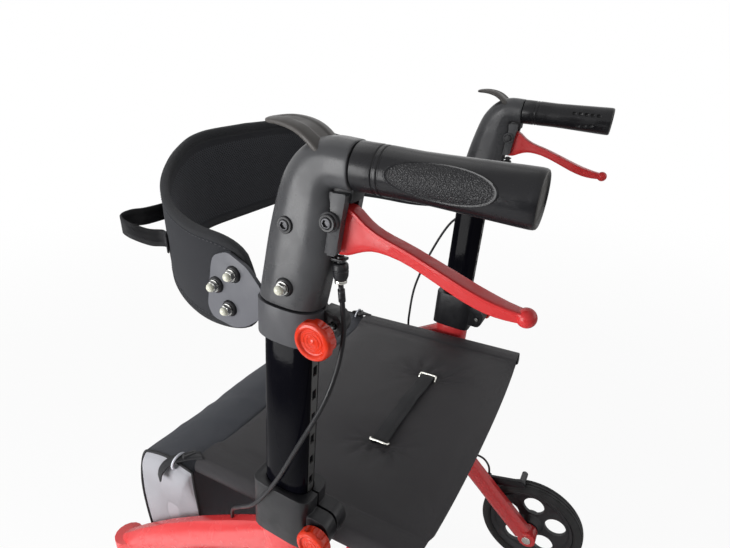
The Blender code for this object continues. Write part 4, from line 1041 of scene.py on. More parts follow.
def puff(made: bpy.types.Object, pressure: float, cap: float, held: Callable[[Vector], bool]) -> None:
    """Fills a cloth shell with air in a cloth simulation, and keeps the result in its mesh.

    Args:
        made: the shell.
        pressure: the pressure inside it.
        cap: how far a point may move.
        held: which points are sewn down.
    """
    deselect()
    mesh = made.data
    starts = [vertex.co.copy() for vertex in mesh.vertices]
    group = made.vertex_groups.new(name="sewn")
    group.add([vertex.index for vertex in mesh.vertices if held(vertex.co)], 1.0, "ADD")
    modifier = made.modifiers.new("cloth", "CLOTH")
    settings = modifier.settings
    settings.quality = 4
    settings.vertex_group_mass = "sewn"
    settings.use_pressure = True
    settings.uniform_pressure_force = pressure
    settings.effector_weights.gravity = 0.0
    for moment in range(1, 21):
        bpy.context.scene.frame_set(moment)
    bpy.context.view_layer.objects.active = made
    made.select_set(True)
    bpy.ops.object.modifier_apply(modifier=modifier.name)
    bpy.context.scene.frame_set(1)
    made.vertex_groups.clear()
    most = 0.0
    for vertex, start in zip(mesh.vertices, starts):
        step = vertex.co - start
        most = max(most, step.length)
        if step.length > cap:
            vertex.co = start + step * (cap / step.length)
    log.info("%s swelled by up to %.1f mm, kept to %.1f mm", made.name, most * 1000, cap * 1000)


@dataclass
class Studio:
    """The camera at the photograph's place, a pale floor and plain soft light."""

    eye: Point = (-0.5447, -0.2916, 0.9717)
    yaw: float = 28.55
    pitch: float = 22.71
    roll: float = 0.28
    lens: float = 24.6
    floor_size: float = 60.0
    pale: float = 0.93
    aim: Point = (0.0, 0.0, 0.6)
    sky: float = 0.23
    paper: Pair = (0.8, 3.5)
    lamps: tuple = (
        ("key", (-1.3, 0.6, 0.7), 0.8, 18.0),
        ("fill", (0.9, -2.3, 1.5), 1.5, 8.0),
        ("top", (0.3, 0.9, 2.6), 1.8, 8.0),
    )

    def build(self) -> None:
        """Makes the camera, the floor, the world and the lamps."""
        self.place_camera()
        self.lay_floor()
        self.light_world()
        for name, place, size, power in self.lamps:
            self.hang_lamp(name, place, size, power)
        bpy.context.scene.view_settings.view_transform = "Standard"

    def place_camera(self) -> None:
        """Sets the camera where the photographer stood."""
        data = bpy.data.cameras.new("camera")
        data.lens = self.lens
        data.sensor_width = 36.0
        data.clip_start = 0.02
        camera = placed("camera", data)
        yaw, pitch = math.radians(self.yaw), math.radians(self.pitch)
        ahead = Vector((math.cos(yaw) * math.cos(pitch), math.sin(yaw) * math.cos(pitch), -math.sin(pitch)))
        right = ahead.cross(Vector((0, 0, 1))).normalized()
        up = right.cross(ahead)
        tilt = math.radians(self.roll)
        across = right * math.cos(tilt) + up * math.sin(tilt)
        up = up * math.cos(tilt) - right * math.sin(tilt)
        turned = Matrix((across, up, -ahead)).transposed().to_4x4()
        camera.matrix_world = Matrix.Translation(self.eye) @ turned
        bpy.context.scene.camera = camera

    def lay_floor(self) -> None:
        """Lays a white floor that keeps the shadows and looks pale to the camera."""
        deselect()
        bpy.ops.mesh.primitive_plane_add(size=self.floor_size)
        floor = bpy.context.object
        floor.name = "floor"
        white = bpy.data.materials.new("floor_white")
        recipe = Recipe(white)
        recipe.shader.inputs["Base Color"].default_value = (self.pale, self.pale, self.pale, 1.0)
        recipe.shader.inputs["Roughness"].default_value = 0.9
        glow = recipe.node("ShaderNodeEmission", {}, {"Color": (1, 1, 1, 1), "Strength": 1.0})
        away = recipe.node("ShaderNodeVectorMath", {"operation": "LENGTH"}, {0: recipe.place()})
        share = Amount(recipe, away.outputs["Value"]).between(*self.paper) * (1 - self.pale) + self.pale
        seen = Amount(recipe, recipe.node("ShaderNodeLightPath", {}, {}).outputs["Is Camera Ray"]) * share
        surfaces = {0: seen, 1: recipe.shader.outputs[0], 2: glow.outputs[0]}
        mixed = recipe.node("ShaderNodeMixShader", {}, surfaces)
        recipe.feed(recipe.tree.nodes["Material Output"].inputs["Surface"], mixed.outputs[0])
        floor.data.materials.append(white)

    def light_world(self) -> None:
        """Makes the world plain white to the camera and in reflections, and softer as light."""
        world = bpy.data.worlds.new("studio")
        bpy.context.scene.world = world
        recipe = Recipe(world, "Background")
        rays = recipe.node("ShaderNodeLightPath", {}, {}).outputs
        seen = Amount(recipe, rays["Is Camera Ray"])
        for ray in ("Is Glossy Ray", "Is Transmission Ray"):
            seen = seen.maths("MAXIMUM", Amount(recipe, rays[ray]))
        recipe.feed(recipe.shader.inputs["Color"], (1.0, 1.0, 1.0, 1.0))
        recipe.feed(recipe.shader.inputs["Strength"], seen * (1 - self.sky) + self.sky)

    def hang_lamp(self, name: str, place: Point, size: float, power: float) -> None:
        """Hangs one square lamp that faces the middle of the object.

        Args:
            name: the lamp's name.
            place: where it hangs.
            size: the length of its sides.
            power: its power in watts.
        """
        data = bpy.data.lights.new(name, "AREA")
        data.size = size
        data.energy = power
        lamp = placed(name, data)
        lamp.location = place
        towards = Vector(self.aim) - Vector(place)
        lamp.rotation_mode = "QUATERNION"
        lamp.rotation_quaternion = towards.to_track_quat("-Z", "Y")


@dataclass
class Cables:
    """The brake cables from the levers to the frame, and their short ends at the rear wheels."""

    radius: float = 0.0021
    ferrule_radius: float = 0.0029
    ferrule_steps: int = 2
    step: int = 6
    upper: dict[str, tuple[Point, ...]] = field(default_factory=lambda: {
        "left": ((0.0, -0.1105, 0.818), (0.001, -0.1125, 0.798), (0.004, -0.1148, 0.778),
                 (0.012, -0.113, 0.75), (0.02, -0.104, 0.718), (0.025, -0.0815, 0.672),
                 (0.026, -0.052, 0.616), (0.023, -0.02, 0.57), (0.013, 0.013, 0.538),
                 (0.003, 0.033, 0.515), (0.0, 0.039, 0.498)),
        "right": ((0.0, -0.1105, 0.818), (0.001, -0.1125, 0.798), (0.005, -0.115, 0.777),
                  (0.015, -0.112, 0.7555), (0.024, -0.088, 0.743), (0.026, -0.053, 0.734),
                  (0.025, -0.0205, 0.7175), (0.022, 0.0125, 0.659), (0.016, 0.04, 0.585),
                  (0.004, 0.045, 0.526), (0.0, 0.044, 0.4955)),
    })
    lower: tuple[Point, ...] = ((0.017, -0.098, 0.231), (0.019, -0.111, 0.2355), (0.02, -0.127, 0.2315),
                                (0.02, -0.138, 0.218), (0.02, -0.1413, 0.2))

    def build(self, side: Side) -> None:
        """Makes one side's cables with their ferrules.

        Args:
            side: the side.
        """
        word = side.word
        cable, route = self.lay(f"cable_{word}", side, self.upper[word], "", f"brake_cable_{word}")
        start, end = (side.x(), -0.11, 0.8), (side.x(), 0.04, 0.5)
        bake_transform(cable)
        cuff = tube(f"cable_cuff_{word}", route[1:1 + self.ferrule_steps * 2], self.ferrule_radius)
        deliver(cuff, BLACK_PLASTIC, f"handle_{word}")
        ring = Shape(f"cable_ring_{word}")
        profile = ((-0.0012, 0.003), (-0.0012, 0.0048), (0.0012, 0.0048), (0.0012, 0.003), (-0.0012, 0.003))
        ring.turned(profile, (side.x(), route[0][1], route[0][2] + 0.0032), "Z", 24)
        ring.bevel(0.0003).finish(BRIGHT, f"handle_{word}")
        tail = f"cable_tail_{word}"
        _, route = self.lay(tail, side, self.lower, f"frame_{word}", f"lower_cable_{word}")
        boot = tube(f"cable_boot_{word}", route[:6], self.ferrule_radius)
        deliver(boot, BLACK_PLASTIC, f"frame_{word}")

    def lay(
        self, name: str, side: Side, points: Sequence[Point], body: str, node: str
    ) -> tuple[bpy.types.Object, list[Point]]:
        """Args:
            name: the piece's name.
            side: the side that it is on.
            points: the points that it runs through, with X outwards from the side frame's middle.
            body: the body that it rides on, or nothing where it hangs between two.
            node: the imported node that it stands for.

        Returns:
            The object and its route.
        """
        route = [(side.x(a), b, c) for a, b, c in spline(points, self.step)]
        cord = tube(name, route, self.radius)
        deliver(cord, BLACK_PLASTIC, body, [node])
        2 * self.radius
        return cord, route


@dataclass
class Fastener:
    """The screws and cap nuts, each modelled about X on a face."""

    flange: float = 0.0066
    recess: float = 0.0046
    dome: float = 0.004

    def socket_screw(self, name: str, side: Side, face: float, centre: Pair, body: str,
                     replaces: Sequence[str] = ()) -> None:
        """A black flanged screw with a hexagonal socket in a raised ring.

        Args:
            name: the piece's name.
            side: the side that it is on.
            face: how far out its seat lies from the middle of the side frame.
            centre: its place in Y and Z.
            body: the body that it rides on.
            replaces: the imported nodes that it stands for.
        """
        middle = (side.x(face), *centre)
        ring = Shape(name)
        profile = ((-0.004, self.flange), (0.001, self.flange), (0.0016, self.flange - 0.0006),
                   (0.0016, self.recess), (0.0004, self.recess - 0.0002), (0.0004, 0.0), (-0.004, 0.0))
        ring.turned(side.outwards(profile), middle)
        ring.finish(BLACK_PLASTIC, body, replaces)
        head = Shape(f"{name}_head")
        profile = ((0.0, 0.0), (0.0, 0.0043), (0.0022, 0.0043), (0.0026, 0.0038), (0.0026, 0.0))
        head.turned(side.outwards(profile), middle, "X", 24)
        socket = Shape("socket").slab(hexagon(centre, 0.0028), side.x(face + 0.0008), side.x(face + 0.006))
        head.cut(socket).bevel(0.0002, 1).finish(BLACK_SCREW, body)

    def cap_nut(self, name: str, side: Side, face: float, centre: Pair, body: str) -> None:
        """A dome painted pale cream as a painted reflection of warm light on its plated steel, on a bright
        hexagon and washer, over a black bush.

        Args:
            name: the piece's name.
            side: the side that it is on.
            face: how far out its seat lies from the middle of the side frame.
            centre: its place in Y and Z.
            body: the body that it rides on.
        """
        middle = (side.x(face), *centre)
        bush = Shape(f"{name}_bush")
        profile = ((-0.003, 0.0), (-0.003, 0.0078), (0.0008, 0.0078), (0.0026, 0.0066), (0.003, 0.0))
        bush.turned(side.outwards(profile), middle, "X", 28)
        bush.bevel(0.0004).finish(BLACK_PLASTIC, body)
        nut = Shape(name)
        profile = ((0.003, 0.0), (0.003, 0.0056), (0.004, 0.0056), (0.004, 0.0))
        nut.turned(side.outwards(profile), middle, "X", 28)
        corners = hexagon(centre, 0.005, 0.3)
        flats = Shape("flats").slab(corners, side.x(face + 0.0036), side.x(face + 0.0072))
        nut.join(flats).bevel(0.0004, 2).finish(NUT_STEEL, body)
        dome = Shape(f"{name}_dome")
        angles = [math.pi / 2 * k / 8 for k in range(1, 9)]
        arc = [(0.0068, 0.0)] + [(0.0068 + 0.0004 * k, self.dome) for k in range(3)]
        arc += [(0.0076 + self.dome * math.sin(a) * 0.85, self.dome * math.cos(a)) for a in angles]
        dome.turned(side.outwards(arc), middle, "X", 24)
        dome.finish(DOME_PAINTED_REFLECTION, body)


@dataclass
class Handle:
    """One handle: the charcoal elbow with its horn, the grip, the brake lever and its bracket."""

    side: Side
    fastener: Fastener = field(default_factory=Fastener)
    elbow: tuple[Station, ...] = (
        Station(-0.065, 0.797, 0.0185, 0.029, 4.6),
        Station(-0.0705, 0.818, 0.0184, 0.0288, 9.0),
        Station(-0.079, 0.852, 0.0182, 0.028, 13.2),
        Station(-0.0875, 0.885, 0.018, 0.025, 15.0),
        Station(-0.0925, 0.8985, 0.0179, 0.0215, 32.0),
        Station(-0.1005, 0.9075, 0.0177, 0.019, 57.0),
        Station(-0.1105, 0.9105, 0.0175, 0.0177, 80.0),
        Station(-0.1262, 0.9092, 0.0172, 0.0172, 94.0),
    )
    horn: Rows = (
        (-0.108, 0.912, 0.015, 0.004), (-0.101, 0.9212, 0.0166, 0.004), (-0.093, 0.9285, 0.0173, 0.0038),
        (-0.0875, 0.932, 0.0175, 0.0036), (-0.081, 0.9345, 0.0175, 0.0034), (-0.075, 0.9359, 0.0173, 0.0032),
        (-0.069, 0.9367, 0.0168, 0.003), (-0.0645, 0.9368, 0.016, 0.0028), (-0.061, 0.9367, 0.0146, 0.0026),
        (-0.0586, 0.9365, 0.0126, 0.0022), (-0.0572, 0.9363, 0.0103, 0.0019),
        (-0.0566, 0.9362, 0.008, 0.0015),
    )
    horn_top: Pair = (-0.1, -0.06)
    horn_rim: float = 0.0026
    horn_sink: float = 0.0012
    grip_start: Pair = (-0.1269, 0.9092)
    grip_slope: float = 4.0
    grip_rings: Rows = (
        (0.0, 0.0162, 0.0162), (0.0007, 0.017, 0.017), (0.008, 0.017, 0.017), (0.016, 0.017, 0.017),
        (0.0167, 0.0162, 0.0162), (0.0175, 0.0162, 0.0162), (0.0181, 0.0169, 0.0169), (0.02, 0.0169, 0.0169),
        (0.0206, 0.0162, 0.0162), (0.0214, 0.0162, 0.0162), (0.0221, 0.0169, 0.0169), (0.032, 0.0164, 0.0167),
        (0.045, 0.0161, 0.0165), (0.06, 0.0162, 0.0168), (0.075, 0.0165, 0.0172), (0.088, 0.0168, 0.0176),
        (0.1, 0.017, 0.0179), (0.11, 0.0171, 0.0182), (0.1165, 0.0172, 0.0183), (0.119, 0.017, 0.0181),
        (0.1203, 0.0163, 0.0175), (0.1208, 0.0153, 0.0166), (0.1206, 0.0146, 0.0158),
        (0.1196, 0.0138, 0.0149), (0.1193, 0.0128, 0.0138), (0.1194, 0.009, 0.0098),
        (0.1195, 0.004, 0.0044),
    )
    pad_middle: float = 0.062
    pad_half: float = 0.0375
    pad_lift: float = 0.12
    pad_angle: float = 0.74
    pad_proud: float = 0.0002
    bead_at: float = 0.955
    bead_width: float = 0.022
    bead_height: float = 0.0006
    carrier: tuple[Pair, ...] = (
        (-0.09, 0.846), (-0.113, 0.846), (-0.1142, 0.8472), (-0.1226, 0.8906), (-0.1218, 0.8918),
        (-0.1, 0.8918),
    )
    cheek: tuple[Pair, ...] = (
        (-0.1075, 0.846), (-0.1136, 0.846), (-0.115, 0.8475), (-0.1238, 0.8906), (-0.123, 0.892),
        (-0.1128, 0.892),
    )
    carrier_half: float = 0.0106
    cheek_half: float = 0.014
    boss: Pair = (0.0076, 0.0171)
    carrier_slot: float = 0.0074
    stop: tuple[Pair, ...] = ((-0.11, 0.8848), (-0.1254, 0.8848), (-0.1266, 0.895), (-0.11, 0.895))
    tab: tuple[float, float, float, float] = (-0.09, 0.8382, -0.115, 0.8402)
    face: float = 0.018
    screw: Pair = (-0.075, 0.865)
    pivot: Pair = (-0.1111, 0.8715)
    nut: Pair = (-0.0713, 0.815)
    lever: Rows = (
        (-0.107, 0.8626, 0.0184, 0.0064), (-0.112, 0.8626, 0.0188, 0.0066), (-0.118, 0.8628, 0.0187, 0.0066),
        (-0.122, 0.863, 0.0176, 0.0066), (-0.126, 0.8627, 0.0156, 0.0065), (-0.13, 0.8617, 0.0131, 0.0064),
        (-0.134, 0.8606, 0.0108, 0.0063), (-0.1385, 0.8595, 0.0089, 0.0062), (-0.144, 0.8581, 0.0074, 0.0062),
        (-0.151, 0.8563, 0.0064, 0.0063), (-0.16, 0.8538, 0.0059, 0.0065), (-0.169, 0.8506, 0.0058, 0.0067),
        (-0.178, 0.8469, 0.0058, 0.0069), (-0.187, 0.843, 0.006, 0.0071), (-0.196, 0.839, 0.0062, 0.0073),
        (-0.2045, 0.8353, 0.0063, 0.0074), (-0.213, 0.832, 0.0062, 0.0074), (-0.2205, 0.8295, 0.006, 0.0072),
        (-0.228, 0.8275, 0.0056, 0.0067), (-0.235, 0.8262, 0.005, 0.006), (-0.241, 0.8255, 0.0045, 0.0054),
        (-0.245, 0.8252, 0.0041, 0.005),
    )
    flange: float = 0.0034
    web_step: float = 0.001
    ball: Pair = (-0.2475, 0.825)
    ball_radius: float = 0.0067

    @property
    def body(self) -> str:
        """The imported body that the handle's fixed pieces ride on."""
        return f"handle_{self.side.word}"

    def build(self) -> None:
        """Models every piece of the handle."""
        self.model_elbow()
        self.model_horn()
        self.model_grip()
        self.model_lever()
        self.model_bracket()
        side, word = self.side, self.side.word
        self.fastener.socket_screw(f"housing_screw_{word}", side, self.face, self.screw, self.body)
        self.fastener.socket_screw(f"pivot_screw_{word}", side, self.face - 0.0005, self.pivot, self.body,
                                   [f"lever_pivot_{word}"])
        self.fastener.cap_nut(f"housing_nut_{word}", side, self.face, self.nut, self.body)
        inner = Shape(f"pivot_cap_{word}")
        profile = ((-0.0165, 0.0), (-0.0165, 0.006), (-0.019, 0.0058), (-0.0205, 0.0045), (-0.021, 0.0))
        inner.turned(side.outwards(profile), (side.x(), *self.pivot), "X", 28)
        inner.finish(BLACK_PLASTIC, self.body)

    def model_elbow(self) -> None:
        """Lofts the elbow over the tube's top and hollows its skirt."""
        x = self.side.x()
        elbow = Shape(f"elbow_{self.side.word}").loft(eased(self.elbow, 6), x, 0.82, 9)
        hollow = [Station(0, height, 0.0158, 0.0262) for height in (-0.02, 0.004)]
        skirt = Shape("skirt").loft(hollow, 0.0, 0.9)
        centre = self.elbow[0]
        skirt.moved(Matrix.Translation((x, centre.y, centre.z)) @ Matrix.Rotation(POST_TILT, 4, "X"))
        elbow.cut(skirt).bevel(0.0009, 3, 50)
        elbow.finish(CHARCOAL, self.body, [f"handle_housing_{self.side.word}"], 40)

    def model_horn(self) -> None:
        """Lofts the thumb rest and sinks its top inside a raised rim."""
        x = self.side.x()
        rows = self.horn
        stations = []
        for i, (y, z, half_x, half_t) in enumerate(rows):
            before, after = rows[max(i - 1, 0)], rows[min(i + 1, len(rows) - 1)]
            lean = math.degrees(math.atan2(before[0] - after[0], after[1] - before[1]))
            stations.append(Station(y, z, half_x, half_t, lean))
        horn = Shape(f"horn_{self.side.word}").loft(stations, x, 0.7, 4)
        start, end = self.horn_top
        horn.pick(lambda place, normal: normal.z > 0.4 and abs(place.x - x) < 0.01 and start < place.y < end)
        horn.inset(self.horn_rim).inset(0.0012, self.horn_sink)
        horn.modify("SUBSURF", levels=1, render_levels=1)
        horn.finish(HORN_GREY, self.body, smooth=60)

    def grip_station(self, distance: float, half_x: float, half_z: float) -> Station:
        """A section of the grip at a distance from the elbow.

        Args:
            distance: the way from the elbow.
            half_x: half its width.
            half_z: half its height.

        Returns:
            The section, square to the grip.
        """
        slope = math.radians(self.grip_slope)
        y = self.grip_start[0] - math.cos(slope) * distance
        z = self.grip_start[1] - math.sin(slope) * distance
        return Station(y, z, half_x, half_z, 90 + self.grip_slope)

    def model_grip(self) -> None:
        """Lofts the grip with its two seams and its dished end, and lays the pebbled pad on it."""
        x, word = self.side.x(), self.side.word
        stations = [self.grip_station(*ring) for ring in self.grip_rings]
        grip = Shape(f"grip_{word}_body").loft(stations, x, 1.0, 12)
        end = stations[-1]
        tools = [self.pocket(*row) for row in self.vent_rows()]
        grip.cut(*tools).bevel(0.0005, 2, 48)
        grip.paint(GRIP_END, lambda place, normal: normal.y < -0.75 and place.y < end.y + 0.003)
        grip.finish(GRIP_BLACK, self.body, [f"grip_{word}"], 40)
        self.model_pad()

    def surface_at(self, distance: float, angle: float, proud: float) -> Vector:
        """A point on the grip, by the way along it and the angle from its outer side.

        Args:
            distance: the way from the elbow.
            angle: the angle round the grip, up from its outer side.
            proud: the height over the grip's rubber.

        Returns:
            The point in the model's frame.
        """
        rows = self.grip_rings
        for (d0, x0, z0), (d1, x1, z1) in zip(rows, rows[1:]):
            if distance <= d1:
                break
        share = (distance - d0) / (d1 - d0)
        half_x, half_z = x0 + (x1 - x0) * share, z0 + (z1 - z0) * share
        middle = self.grip_station(distance, 0.0, 0.0)
        rise = (half_z + proud) * math.sin(angle)
        slope = math.radians(self.grip_slope)
        out = (half_x + proud) * math.cos(angle)
        y, z = middle.y - rise * math.sin(slope), middle.z + rise * math.cos(slope)
        return Vector((self.side.x(out), y, z))

    def model_pad(self) -> None:
        """Wraps the pebbled oval pad, with its raised rim, round the grip's outer side."""
        pad = Shape(f"grip_pad_{self.side.word}")
        bpy.ops.mesh.primitive_circle_add(vertices=80, radius=1, fill_type="NGON")
        bpy.ops.mesh.extrude_region_move(TRANSFORM_OT_translate={"value": (0, 0, 1)})
        for width in (0.018, 0.022, 0.022, 0.018, 0.02):
            bpy.ops.mesh.inset(thickness=width)
        for _ in range(8):
            bpy.ops.mesh.inset(thickness=0.1)
        pad.paint(GRIP_PEBBLE, lambda place, normal: normal.z > 0.5 and math.hypot(*place.xy) < 0.91)
        pad.leave()
        for vertex in pad.made.data.vertices:
            along, up, level = vertex.co
            reach = math.hypot(along, up)
            bead = math.exp(-((reach - self.bead_at) / self.bead_width) ** 2) * self.bead_height
            proud = self.pad_proud + bead - 0.0009 * max(0.0, (reach - 0.985) / 0.015)
            place = self.pad_middle + along * self.pad_half
            angle = self.pad_lift + up * self.pad_angle
            vertex.co = self.surface_at(place, angle, proud if level > 0.5 else -0.0015)
        pad.enter()
        pad.finish(GRIP_BLACK, self.body, smooth=60)

    def vent_rows(self) -> list[tuple[float, float, float]]:
        """The vents on the inner side, as distance along the grip, height and length."""
        upper = [(0.0725 + 0.008 * k, 0.007, 0.0028) for k in range(5)]
        lower = [(0.079 + 0.0085 * k, -0.0095 + 0.001 * k, 0.003) for k in range(3)]
        return upper + lower

    def pocket(self, distance: float, height: float, half: float) -> Shape:
        """A small rounded tool that cuts one vent into the grip's inner side.

        Args:
            distance: the way from the elbow.
            height: the height over the grip's middle.
            half: half the vent's length.

        Returns:
            The tool.
        """
        middle = self.grip_station(distance, 0.0, 0.0)
        level, tall = middle.z + height, 0.0022
        outline = rectangle(middle.y - half, level - tall, middle.y + half, level + tall)
        return Shape("pocket").slab(outline, self.side.x(-0.0115), self.side.x(-0.03), "X", 0.0018)

    def lever_stations(self, narrow: float, top: float | None) -> list[Station]:
        """The lever's sections.

        Args:
            narrow: how far the sides stand in.
            top: the height of a band along the upper edge, or nothing for the whole height.

        Returns:
            The sections from the root to the ball.
        """
        rows = self.lever
        found = []
        for i, (y, z, half_z, half_x) in enumerate(rows):
            before, after = rows[max(i - 1, 0)], rows[min(i + 1, len(rows) - 1)]
            high = math.atan2(after[1] + after[2] - before[1] - before[2], before[0] - after[0])
            lean = 90 - math.degrees(high)
            if top is None:
                found.append(Station(y, z, half_x - narrow, half_z, 90.0))
            else:
                rise = half_z - top / 2 / math.cos(high)
                found.append(Station(y, z + rise, half_x - narrow, top / 2, lean))
        return found

    def model_lever(self) -> None:
        """Lofts the lever's web and the wider band along its upper edge, and ends it in a ball."""
        x, word = self.side.x(), self.side.word
        lever = Shape(f"lever_{word}").loft(self.lever_stations(self.web_step, None), x, 0.55, 4)
        band = Shape("band").loft(self.lever_stations(0.0, self.flange), x, 0.45, 3)
        ball = Shape("ball")
        bpy.ops.mesh.primitive_uv_sphere_add(segments=28, ring_count=18, radius=self.ball_radius,
                                             location=(x, *self.ball))
        hub = Shape("hub")
        profile = ((-0.0064, 0.0), (-0.0064, 0.0075), (0.0064, 0.0075), (0.0064, 0.0))
        hub.turned(profile, (x, *self.pivot), "X", 28)
        lever.join(band, ball, hub).bevel(0.0004, 2, 50)
        lever.finish(LEVER_RED, f"brake_lever_{word}", [f"brake_lever_{word}"], 42)

    def model_bracket(self) -> None:
        """Models the carrier that the lever turns in, its stop, and the adjuster on its tab."""
        word = self.side.word
        x = self.side.x()
        half, slot = self.carrier_half, self.carrier_slot
        bracket = Shape(f"carrier_{word}").slab(self.carrier, x - half, x + half, "X", 0.0012)
        bracket.join(Shape("cheek").slab(self.cheek, x - self.cheek_half, x + self.cheek_half))
        radius, reach = self.boss
        profile = ((-reach, 0.0), (-reach, radius - 0.0008), (0.0008 - reach, radius),
                   (reach - 0.0008, radius), (reach, radius - 0.0008), (reach, 0.0))
        bracket.join(Shape("boss").turned(profile, (x, *self.pivot), "X", 36))
        bracket.cut(Shape("opening").slab(rectangle(-0.0985, 0.8, -0.16, 0.93), x - slot, x + slot))
        stop = Shape("stop").slab(self.stop, x - slot - 0.0005, x + slot + 0.0005, "X", 0.0006)
        tab = Shape("tab").slab(rectangle(*self.tab), x - 0.0045, x + 0.0045)
        bracket.join(stop, tab).bevel(0.0005, 2, 50)
        # the faces inside the carrier's opening, with the stop and the tab, are painted black as painted
        # shade inside the carrier
        bracket.paint(BLACK_PLASTIC, lambda place, normal: abs(place.x - x) < slot + 0.0008)
        bracket.finish(CHARCOAL, self.body, [f"lever_bracket_{word}"])
        barrel = Shape(f"adjuster_{word}")
        y, top = -0.1105, 0.8367
        profile = (
            (top - 0.0148, 0.0), (top - 0.0148, 0.0038), (top - 0.0136, 0.005), (top - 0.011, 0.0059),
            (top - 0.007, 0.0062), (top - 0.0062, 0.0057), (top - 0.0054, 0.0062), (top - 0.002, 0.006),
            (top - 0.0004, 0.005), (top, 0.0031), (top + 0.005, 0.0031), (top + 0.0054, 0.0),
        )
        barrel.turned(profile, (x, y, 0.0), "Z", 30)
        barrel.bevel(0.0003, 2, 40).finish(BLACK_PLASTIC, self.body, [f"cable_adjuster_{word}"])


@dataclass
class Knob:
    """A clamp knob: a scalloped wheel with a raised rim and rings in its dish, on a bright stud."""

    side: Side
    node: str
    lug_y: float
    height: float
    start: float
    radius: float = 0.0165
    lobes: int = 8
    flute: float = 0.0052
    flute_out: float = 0.0025
    rows: tuple[Pair, ...] = (
        (0.0, 0.0), (0.0, 0.0125), (0.0008, 0.014), (0.0024, 0.0158), (0.004, 0.0165), (0.0096, 0.0165),
        (0.0116, 0.016), (0.013, 0.0149), (0.0135, 0.0136), (0.0135, 0.0122), (0.0129, 0.0114),
        (0.0116, 0.0108), (0.0114, 0.0092), (0.0118, 0.0088), (0.0118, 0.0078), (0.0114, 0.0074),
        (0.0114, 0.006), (0.0118, 0.0056), (0.0118, 0.0047), (0.0114, 0.0043), (0.0114, 0.0022),
        (0.0119, 0.0014), (0.012, 0.0),
    )

    def build(self) -> None:
        """Models the knob in the post's frame and sets it on its lug."""
        side = self.side
        centre = (0.0, self.lug_y, self.height)
        knob = Shape(f"{self.node}_wheel")
        wheel = [(self.start + a, r) for a, r in self.rows]
        knob.turned(side.outwards(wheel), centre, "X", 96)
        flutes = []
        for k in range(self.lobes):
            angle = 2 * math.pi * (k + 0.5) / self.lobes
            reach = self.radius + self.flute_out
            flute = Shape("flute")
            place = (0.0, self.lug_y + reach * math.cos(angle), self.height + reach * math.sin(angle))
            first, last = self.start - 0.002, self.start + 0.0112
            profile = ((first, 0.0), (first, self.flute), (last - 0.003, self.flute),
                       (last - 0.0008, self.flute * 0.7), (last, self.flute * 0.3), (last, 0.0))
            flutes.append(flute.turned(side.outwards(profile), place, "X", 20))
        knob.cut(*flutes).bevel(0.0005, 2, 30).moved(side.post())
        knob.finish(KNOB_RED, self.node, [self.node], 30)
        stud = Shape(f"{self.node}_stud")
        profile = ((-0.0205, 0.0), (-0.0205, 0.0026), (-0.02, 0.003), (self.start + 0.003, 0.003),
                   (self.start + 0.003, 0.0))
        stud.turned(side.outwards(profile), centre, "X", 20).moved(side.post())
        stud.finish(NUT_STEEL, self.node)


@dataclass
class Post:
    """One handle tube with its index strip, and the clamp that it slides in."""

    side: Side
    top: float = 0.268
    foot: float = -0.13
    pitch: float = 0.025
    first: float = 0.02
    slots: int = 10
    square: float = 2.6

    def outline(self, extra: float = 0.0, count: int = 40) -> list[Pair]:
        """The tube's oval section, grown by a distance.

        Args:
            extra: the distance.
            count: how many corners it has.

        Returns:
            The corners in X and Y.
        """
        points = []
        for k in range(count):
            angle = 2 * math.pi * (k + 0.5) / count
            c, s = math.cos(angle), math.sin(angle)
            x = (TUBE_HALF[0] + extra) * math.copysign(abs(c) ** (2 / self.square), c)
            y = (TUBE_HALF[1] + extra) * math.copysign(abs(s) ** (2 / self.square), s)
            points.append((x, y))
        return points

    def build(self) -> None:
        """Models the tube, the index strip and the clamp."""
        word = self.side.word
        body = f"handle_{word}"
        tube_shape = Shape(f"tube_{word}").slab(self.outline(), self.foot, self.top, "Z")
        rear = -TUBE_HALF[1]
        groove = rectangle(-0.0052, rear - 0.01, 0.0052, rear + 0.0026)
        channel = Shape("channel").slab(groove, self.foot - 0.01, self.top + 0.01, "Z")
        tube_shape.cut(channel).bevel(0.0006, 2, 50).moved(self.side.post())
        tube_shape.finish(TUBE_BLACK, body, [f"handle_tube_{word}"], 40)
        strip = Shape(f"index_strip_{word}")
        section = rectangle(-0.0046, rear + 0.001, 0.0046, rear + 0.003)
        strip.slab(section, self.foot + 0.002, self.top - 0.03, "Z")
        opening = rectangle(-0.003, rear - 0.01, 0.003, rear + 0.01)
        slots = []
        for k in range(self.slots):
            low = self.first + (k - 1) * self.pitch
            slots.append(Shape("slot").slab(opening, low, low + 0.01, "Z"))
        strip.cut(*slots).moved(self.side.post())
        strip.finish(INDEX_METAL, body)
        edge = (0.001, 3, 35)
        dress(f"clamp_{word}", f"clamp_collar_{word}", BLACK_PLASTIC, f"frame_{word}", edge, 40)


